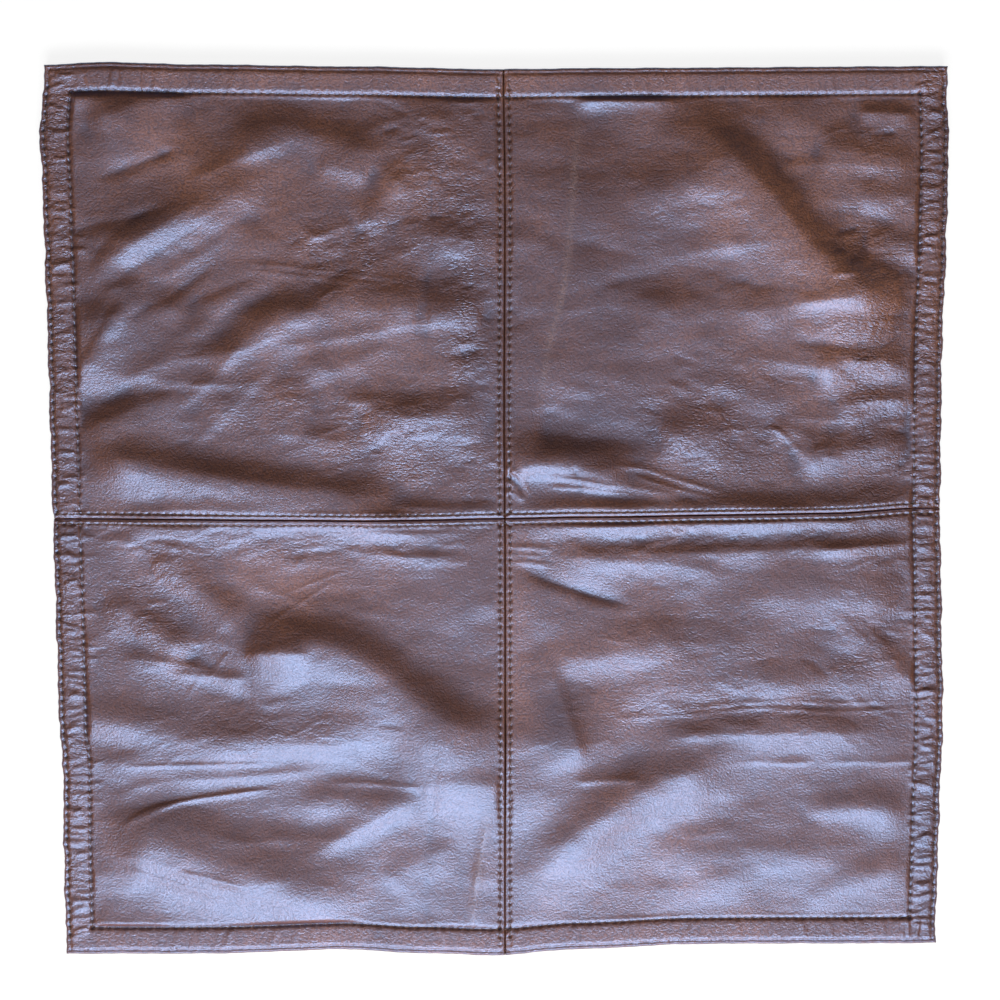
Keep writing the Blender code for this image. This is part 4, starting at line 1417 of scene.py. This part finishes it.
# %% [markdown]
# ## The four face panels
#
# Each panel takes its quarter of the relief. Shade is painted into the hollows: the crease attribute tells
# how far the surface lies below a blurred copy of itself, and the colour darkens there. An ambient occlusion
# node could find such hollows in the render, but an attribute is worked out once, and its depth is set in
# millimetres.

# %% Crease paint, for painted shade in hollows
CREASE_BLUR = 5
CREASE_DEPTH = 0.6


def blurred(values, radius):
    """A box blur, run twice along each direction."""
    for axis in (0, 1, 0, 1):
        padded = np.pad(values, [(radius, radius) if a == axis else (0, 0) for a in (0, 1)], mode="edge")
        running = np.cumsum(padded, axis=axis)
        running = np.insert(running, 0, 0, axis=axis)
        span = 2 * radius + 1
        upper = np.take(running, range(span, running.shape[axis]), axis=axis)
        lower = np.take(running, range(0, running.shape[axis] - span), axis=axis)
        values = (upper - lower) / span
    return values


def hollow_shade_paint(height):
    """How far a relief lies below a blurred copy of itself, from -1 to 1, which sets the painted shade of
    hollows.
    """
    return np.clip((blurred(height, CREASE_BLUR) - height) / CREASE_DEPTH, -1, 1)


print("creases are full at", CREASE_DEPTH, "mm")

# %% Panels
OUTER_HEM = 9.5
SEAM_HEM = 8.0


def panel_part(values, left, near):
    """The quarter of a grid that belongs to one panel."""
    columns = slice(0, len(LEFT_LINES)) if left else slice(len(LEFT_LINES), None)
    rows = slice(0, len(NEAR_LINES)) if near else slice(len(NEAR_LINES), None)
    return values[rows, columns]


pieces = {}
for left in (True, False):
    for near in (True, False):
        name = "face_panel_" + ("near" if near else "rear") + ("_left" if left else "_right")
        height = panel_part(SURFACE, left, near)
        hems = (OUTER_HEM, SEAM_HEM) if left else (SEAM_HEM, OUTER_HEM)
        hems += (OUTER_HEM, SEAM_HEM) if near else (SEAM_HEM, OUTER_HEM)
        reaches = [FOLD_REACH if hem == OUTER_HEM else SEAM_REACH for hem in hems]
        points, faces = turned_sheet(LEFT_LINES if left else RIGHT_LINES, NEAR_LINES if near else REAR_LINES,
                                     height, True, FACE_HEM_UNDER, FACE_LEATHER, reaches, hems)
        paints = {
            "crease_shade": hollow_shade_paint(height),
            "wrinkle": panel_part(WRINKLES, left, near),
            "upright_wrinkle": panel_part(UPRIGHT_WRINKLES, left, near),
            "dye": panel_part(DYE_AND_SHADE, left, near),
            "rubbed": panel_part(RUBBED, left, near),
        }
        piece = sheet_object("leather_" + name, points, faces, FACE_FINISH, paints)
        pieces[name] = piece
        triangles = sum(len(face) - 2 for face in faces)
        print(piece.name, "points", len(points), "triangles", triangles)

# %% [markdown]
# ## The backing
#
# The backing is hidden while the mat lies on a desk, but it is part of the object: two pieces of thinner
# leather, joined in a seam that crosses the mat. It rests on the desk in the field and rises a little in the
# border, where the rows of stitches come through. A flat plane would do for a picture, but the mesh is a
# result too, so the pieces are turned sheets like the panels, on a coarser grid.

# %% Backing pieces
BACKING_STEPS = (1.3, 3.2, 1.2)
BACKING_RISE_GAP = 2.0
BACKING_RISE_START = BORDER_ROW + BACKING_RISE_GAP
BACKING_RISE_RUN = 4.0
BACKING_SEAM_LIFT = 3.0
RIPPLE = 0.12
RIPPLE_ACROSS = 17.0
RIPPLE_BEND = 29.0
RIPPLE_ALONG = 13.0


def backing_height(x_lines, y_lines, seam_y):
    """Underside of a backing piece: flat on the desk, lifted at its border and its seam."""
    grid_x, grid_y = np.meshgrid(x_lines, y_lines)
    from_edge = np.minimum(HALF - np.abs(grid_x), HALF - np.abs(grid_y))
    from_seam = np.abs(grid_y - seam_y) - BACKING_SEAM_LIFT
    from_edge = np.minimum(from_edge, from_seam + BACKING_RISE_START)
    lifted = 1 - soft_step((from_edge - BACKING_RISE_START) / BACKING_RISE_RUN)
    waves = np.sin(grid_x / RIPPLE_ACROSS + np.sin(grid_y / RIPPLE_BEND)) * np.sin(grid_y / RIPPLE_ALONG)
    return BACKING_BORDER_UNDER * lifted + RIPPLE * (1 - lifted) * (1 + waves)


backing_reach = (BACKING_HEM_TOP - BACKING_BORDER_UNDER) / 2
backing_outer = HALF - backing_reach
backing_gap = (backing_rear_low[1] - backing_near_high[1]) / 2 + backing_reach
backing_x = np.concatenate([panel_lines(-backing_outer, 0.0, BACKING_STEPS)[:-1],
                            panel_lines(backing_outer, 0.0, BACKING_STEPS)])
for name, start, end, near in (("backing_near", -backing_outer, BACKING_SEAM_Y - backing_gap, True),
                               ("backing_rear", backing_outer, BACKING_SEAM_Y + backing_gap, False)):
    backing_y = panel_lines(start, end, BACKING_STEPS)
    height = backing_height(backing_x, backing_y, BACKING_SEAM_Y)
    hems = (OUTER_HEM, OUTER_HEM) + ((OUTER_HEM, SEAM_HEM) if near else (SEAM_HEM, OUTER_HEM))
    points, faces = turned_sheet(backing_x, backing_y, height, False, BACKING_HEM_TOP, BACKING_LEATHER,
                                 (backing_reach,) * 4, hems)
    piece = sheet_object("leather_" + name, points, faces, BACKING_FINISH, {})
    pieces[name] = piece
    print(piece.name, "points", len(points))

# %% [markdown]
# ## Stitches
#
# A machine stitch is a short bow of thread that leaves one needle hole and enters the next, slightly askew.
# There are almost three thousand of them. Each could be a curve of its own, but that is slow and hard to
# change, so Geometry Nodes repeat one bow: each row is a curve with one point for each stitch, and the tree
# puts a bow on every point, turned along the row and then askew, with a little seeded variation. The
# evaluated result becomes a plain mesh.

# %% The stitch tree
BOW_STEPS = 6
ROUND_SIDES = 6


def stitch_tree():
    """Geometry Nodes group that lays one bow of thread on every point of a row."""
    tree = bpy.data.node_groups.new("stitch_row", "GeometryNodeTree")
    tree.interface.new_socket("Row", in_out="INPUT", socket_type="NodeSocketGeometry")
    for title in ("Stitch length", "Thread width", "Rise", "Sink", "Slant", "Unevenness"):
        tree.interface.new_socket(title, in_out="INPUT", socket_type="NodeSocketFloat")
    tree.interface.new_socket("Seed", in_out="INPUT", socket_type="NodeSocketInt")
    tree.interface.new_socket("Thread", in_out="INPUT", socket_type="NodeSocketMaterial")
    tree.interface.new_socket("Stitches", in_out="OUTPUT", socket_type="NodeSocketGeometry")
    given = new_node(tree, "NodeGroupInput").outputs
    result = new_node(tree, "NodeGroupOutput").inputs
    link = tree.links.new

    def feed(sockets, values):
        """Set each socket to a number, or link it to another socket."""
        for socket, value in zip(sockets, values):
            if isinstance(value, (int, float)):
                socket.default_value = value
            else:
                link(value, socket)

    def arithmetic(operation, first, second):
        """One Math node on two sockets or numbers."""
        maths = new_node(tree, "ShaderNodeMath", operation=operation)
        feed(maths.inputs, (first, second))
        return maths.outputs["Value"]

    def vector(x, y, z):
        """A vector from three sockets or numbers."""
        joined = new_node(tree, "ShaderNodeCombineXYZ")
        feed(joined.inputs, (x, y, z))
        return joined.outputs["Vector"]

    half = arithmetic("MULTIPLY", given["Stitch length"], 0.5)
    down = arithmetic("MULTIPLY", given["Sink"], -1.0)
    bow = new_node(tree, "GeometryNodeCurveQuadraticBezier")
    bow.inputs["Resolution"].default_value = BOW_STEPS
    link(vector(arithmetic("MULTIPLY", half, -1.0), 0.0, down), bow.inputs["Start"])
    link(vector(0.0, 0.0, given["Rise"]), bow.inputs["Middle"])
    link(vector(half, 0.0, down), bow.inputs["End"])
    round_section = new_node(tree, "GeometryNodeCurvePrimitiveCircle")
    round_section.inputs["Resolution"].default_value = ROUND_SIDES
    link(arithmetic("MULTIPLY", given["Thread width"], 0.5), round_section.inputs["Radius"])
    strand = new_node(tree, "GeometryNodeCurveToMesh")
    strand.inputs["Fill Caps"].default_value = True
    link(bow.outputs["Curve"], strand.inputs["Curve"])
    link(round_section.outputs["Curve"], strand.inputs["Profile Curve"])

    spots = new_node(tree, "GeometryNodeCurveToPoints", mode="EVALUATED")
    link(given["Row"], spots.inputs["Curve"])
    facing = new_node(tree, "FunctionNodeAlignRotationToVector", axis="X")
    link(spots.outputs["Tangent"], facing.inputs["Vector"])
    chance = new_node(tree, "FunctionNodeRandomValue", data_type="FLOAT")
    link(arithmetic("MULTIPLY", given["Unevenness"], -1.0), chance.inputs[2])
    link(given["Unevenness"], chance.inputs[3])
    link(given["Seed"], chance.inputs["Seed"])
    askew = new_node(tree, "FunctionNodeRotateRotation", rotation_space="LOCAL")
    turn = new_node(tree, "FunctionNodeEulerToRotation")
    link(vector(0.0, 0.0, arithmetic("ADD", given["Slant"], chance.outputs[1])), turn.inputs["Euler"])
    link(facing.outputs["Rotation"], askew.inputs["Rotation"])
    link(turn.outputs["Rotation"], askew.inputs["Rotate By"])
    laid = new_node(tree, "GeometryNodeInstanceOnPoints")
    link(spots.outputs["Points"], laid.inputs["Points"])
    link(strand.outputs["Mesh"], laid.inputs["Instance"])
    link(askew.outputs["Rotation"], laid.inputs["Rotation"])
    real = new_node(tree, "GeometryNodeRealizeInstances")
    link(laid.outputs["Instances"], real.inputs["Geometry"])
    coloured = new_node(tree, "GeometryNodeSetMaterial")
    link(real.outputs["Geometry"], coloured.inputs["Geometry"])
    link(given["Thread"], coloured.inputs["Material"])
    smooth = new_node(tree, "GeometryNodeSetShadeSmooth")
    link(coloured.outputs["Geometry"], smooth.inputs["Geometry"])
    link(smooth.outputs["Geometry"], result["Stitches"])
    return tree


STITCH_TREE = stitch_tree()
SOCKETS = {item.name: item.identifier for item in STITCH_TREE.interface.items_tree if item.in_out == "INPUT"}
print("stitch tree inputs:", list(SOCKETS))

# %% Height of a row on the face
END_BED = 0.35


def surface_at(x, y):
    """Height of the face at flat points, by bilinear interpolation on the grid."""
    column = np.clip(np.searchsorted(MAT_X, x) - 1, 0, len(MAT_X) - 2)
    row = np.clip(np.searchsorted(MAT_Y, y) - 1, 0, len(MAT_Y) - 2)
    over = np.clip((x - MAT_X[column]) / (MAT_X[column + 1] - MAT_X[column]), 0, 1)
    up = np.clip((y - MAT_Y[row]) / (MAT_Y[row + 1] - MAT_Y[row]), 0, 1)
    low = SURFACE[row, column] * (1 - over) + SURFACE[row, column + 1] * over
    high = SURFACE[row + 1, column] * (1 - over) + SURFACE[row + 1, column + 1] * over
    return low * (1 - up) + high * up


def bedded(x, y):
    """Height of a row on the face. At the far and near edges the thread is drawn deeper into the leather."""
    return surface_at(x, y) - END_BED * (np.abs(y) > HALF - BORDER_ROW / 2)


print("end rows lie", END_BED, "mm deeper")

# %% Laying one row
STITCH_LENGTH = 2.9
STITCH_RISE = 0.35
STITCH_SINK = 0.5
STITCH_SLANT = 14.0
STITCH_UNEVEN = 7.0


def stitch_piece(name, runs, height_at, settings, pitch=STITCH_PITCH):
    """A mesh of every stitch in a row. Runs go from left to right or from near to far."""
    row_curve = bpy.data.curves.new(name + "_row", "CURVE")
    row_curve.dimensions = "3D"
    for run in runs:
        middles, _ = steps_of(run, pitch)
        x, y = lie(middles[:, 0], middles[:, 1])
        z = height_at(middles[:, 0], middles[:, 1])
        spline = row_curve.splines.new("POLY")
        spline.points.add(len(middles) - 1)
        spots = np.stack([x * MM, y * MM, z * MM, np.ones(len(middles))], axis=1)
        spline.points.foreach_set("co", spots.ravel())
    holder = bpy.data.objects.new(name + "_row", row_curve)
    SCENE.collection.objects.link(holder)
    modifier = holder.modifiers.new("stitches", "NODES")
    modifier.node_group = STITCH_TREE
    for title, value in settings.items():
        modifier[SOCKETS[title]] = value
    modifier[SOCKETS["Thread"]] = THREAD_FINISH
    graph = bpy.context.evaluated_depsgraph_get()
    mesh = bpy.data.meshes.new_from_object(holder.evaluated_get(graph), depsgraph=graph)
    mesh.name = name
    bpy.data.objects.remove(holder)
    piece = bpy.data.objects.new(name, mesh)
    SCENE.collection.objects.link(piece)
    return piece


def stitch_settings(seed, slant=STITCH_SLANT, length=STITCH_LENGTH, rise=STITCH_RISE, sink=STITCH_SINK):
    """Named inputs of the stitch tree, turned into metres and radians."""
    return {
        "Stitch length": length * MM,
        "Thread width": THREAD * MM,
        "Rise": rise * MM,
        "Sink": sink * MM,
        "Slant": math.radians(slant),
        "Unevenness": math.radians(STITCH_UNEVEN),
        "Seed": seed,
    }


# %% Rows on the face
for seed, (node, runs) in enumerate(FACE_ROWS.items()):
    slant = -STITCH_SLANT if node.endswith(("_left", "_rear")) else STITCH_SLANT
    pieces[node] = stitch_piece("stitches_" + node, runs, bedded, stitch_settings(seed, slant))
    print(pieces[node].name, "faces", len(pieces[node].data.polygons))

# %% Rows on the underside and the hidden seams
UNDER_SEED = 20
HIDDEN_SEED = 40
HIDDEN_PITCH = 3.2
HIDDEN_LENGTH = 3.6
HIDDEN_SLANT = 3.0
HIDDEN_BOW = 0.1


def level(node):
    """A height function that keeps a row at the level of its CAD node."""
    height = middle_mm(node)[2]
    return lambda x, y: np.full(np.shape(x), height)


def seam_run(node):
    """The straight run of a seam thread, from its CAD box."""
    low, high = box_mm(node)
    centre = (low + high) / 2
    if high[0] - low[0] > high[1] - low[1]:
        return [((low[0], centre[1]), (high[0], centre[1]))]
    return [((centre[0], low[1]), (centre[0], high[1]))]


_, closing_high = box_mm("closing_seam_thread")
CLOSING_INSET = HALF - closing_high[0] + THREAD / 2
UNDER_ROWS = {
    "edge_row_under": square_runs(EDGE_ROW),
    "border_row_under": square_runs(BORDER_ROW),
}
for seed, (node, runs) in enumerate(UNDER_ROWS.items(), start=UNDER_SEED):
    settings = stitch_settings(seed, rise=-STITCH_RISE / 2, sink=-STITCH_SINK)
    pieces[node] = stitch_piece("stitches_" + node, runs, level(node), settings)
SEAM_THREADS = ("seam_thread_cross", "seam_thread_rear", "seam_thread_near", "seam_thread_backing")
HIDDEN_ROWS = {node: seam_run(node) for node in SEAM_THREADS}
HIDDEN_ROWS["closing_seam_thread"] = square_runs(CLOSING_INSET)
for seed, (node, runs) in enumerate(HIDDEN_ROWS.items(), start=HIDDEN_SEED):
    settings = stitch_settings(seed, HIDDEN_SLANT, HIDDEN_LENGTH, rise=HIDDEN_BOW, sink=HIDDEN_BOW)
    pieces[node] = stitch_piece("stitches_" + node, runs, level(node), settings, HIDDEN_PITCH)
print("thread pieces:", len(UNDER_ROWS) + len(HIDDEN_ROWS) + len(FACE_ROWS))

# %% [markdown]
# ## Each piece on the body of the mat
#
# Every piece rides on the one body of the mat and stands for its CAD node, which is hidden. The six leather
# pieces are sheets, and their cut sizes are worked out: the finished size plus the turned hems and the seam
# allowances.

# %% Pieces on the body
LEFT_CUT = SEAM_X + HALF + OUTER_HEM + SEAM_HEM
RIGHT_CUT = HALF - SEAM_X + OUTER_HEM + SEAM_HEM
NEAR_CUT = SEAM_Y + HALF + OUTER_HEM + SEAM_HEM
REAR_CUT = HALF - SEAM_Y + OUTER_HEM + SEAM_HEM
WHOLE_CUT = 2 * HALF + 2 * OUTER_HEM
CUTS = {
    "face_panel_near_left": (LEFT_CUT, NEAR_CUT),
    "face_panel_near_right": (RIGHT_CUT, NEAR_CUT),
    "face_panel_rear_left": (LEFT_CUT, REAR_CUT),
    "face_panel_rear_right": (RIGHT_CUT, REAR_CUT),
    "backing_near": (WHOLE_CUT, BACKING_SEAM_Y + HALF + OUTER_HEM + SEAM_HEM),
    "backing_rear": (WHOLE_CUT, HALF - BACKING_SEAM_Y + OUTER_HEM + SEAM_HEM),
}
for node, piece in pieces.items():
    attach(piece, "root")
    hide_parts(node)
    if node in FACE_PANELS:
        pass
    elif node in CUTS:
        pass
    else:
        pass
print("declared", len(pieces), "pieces")
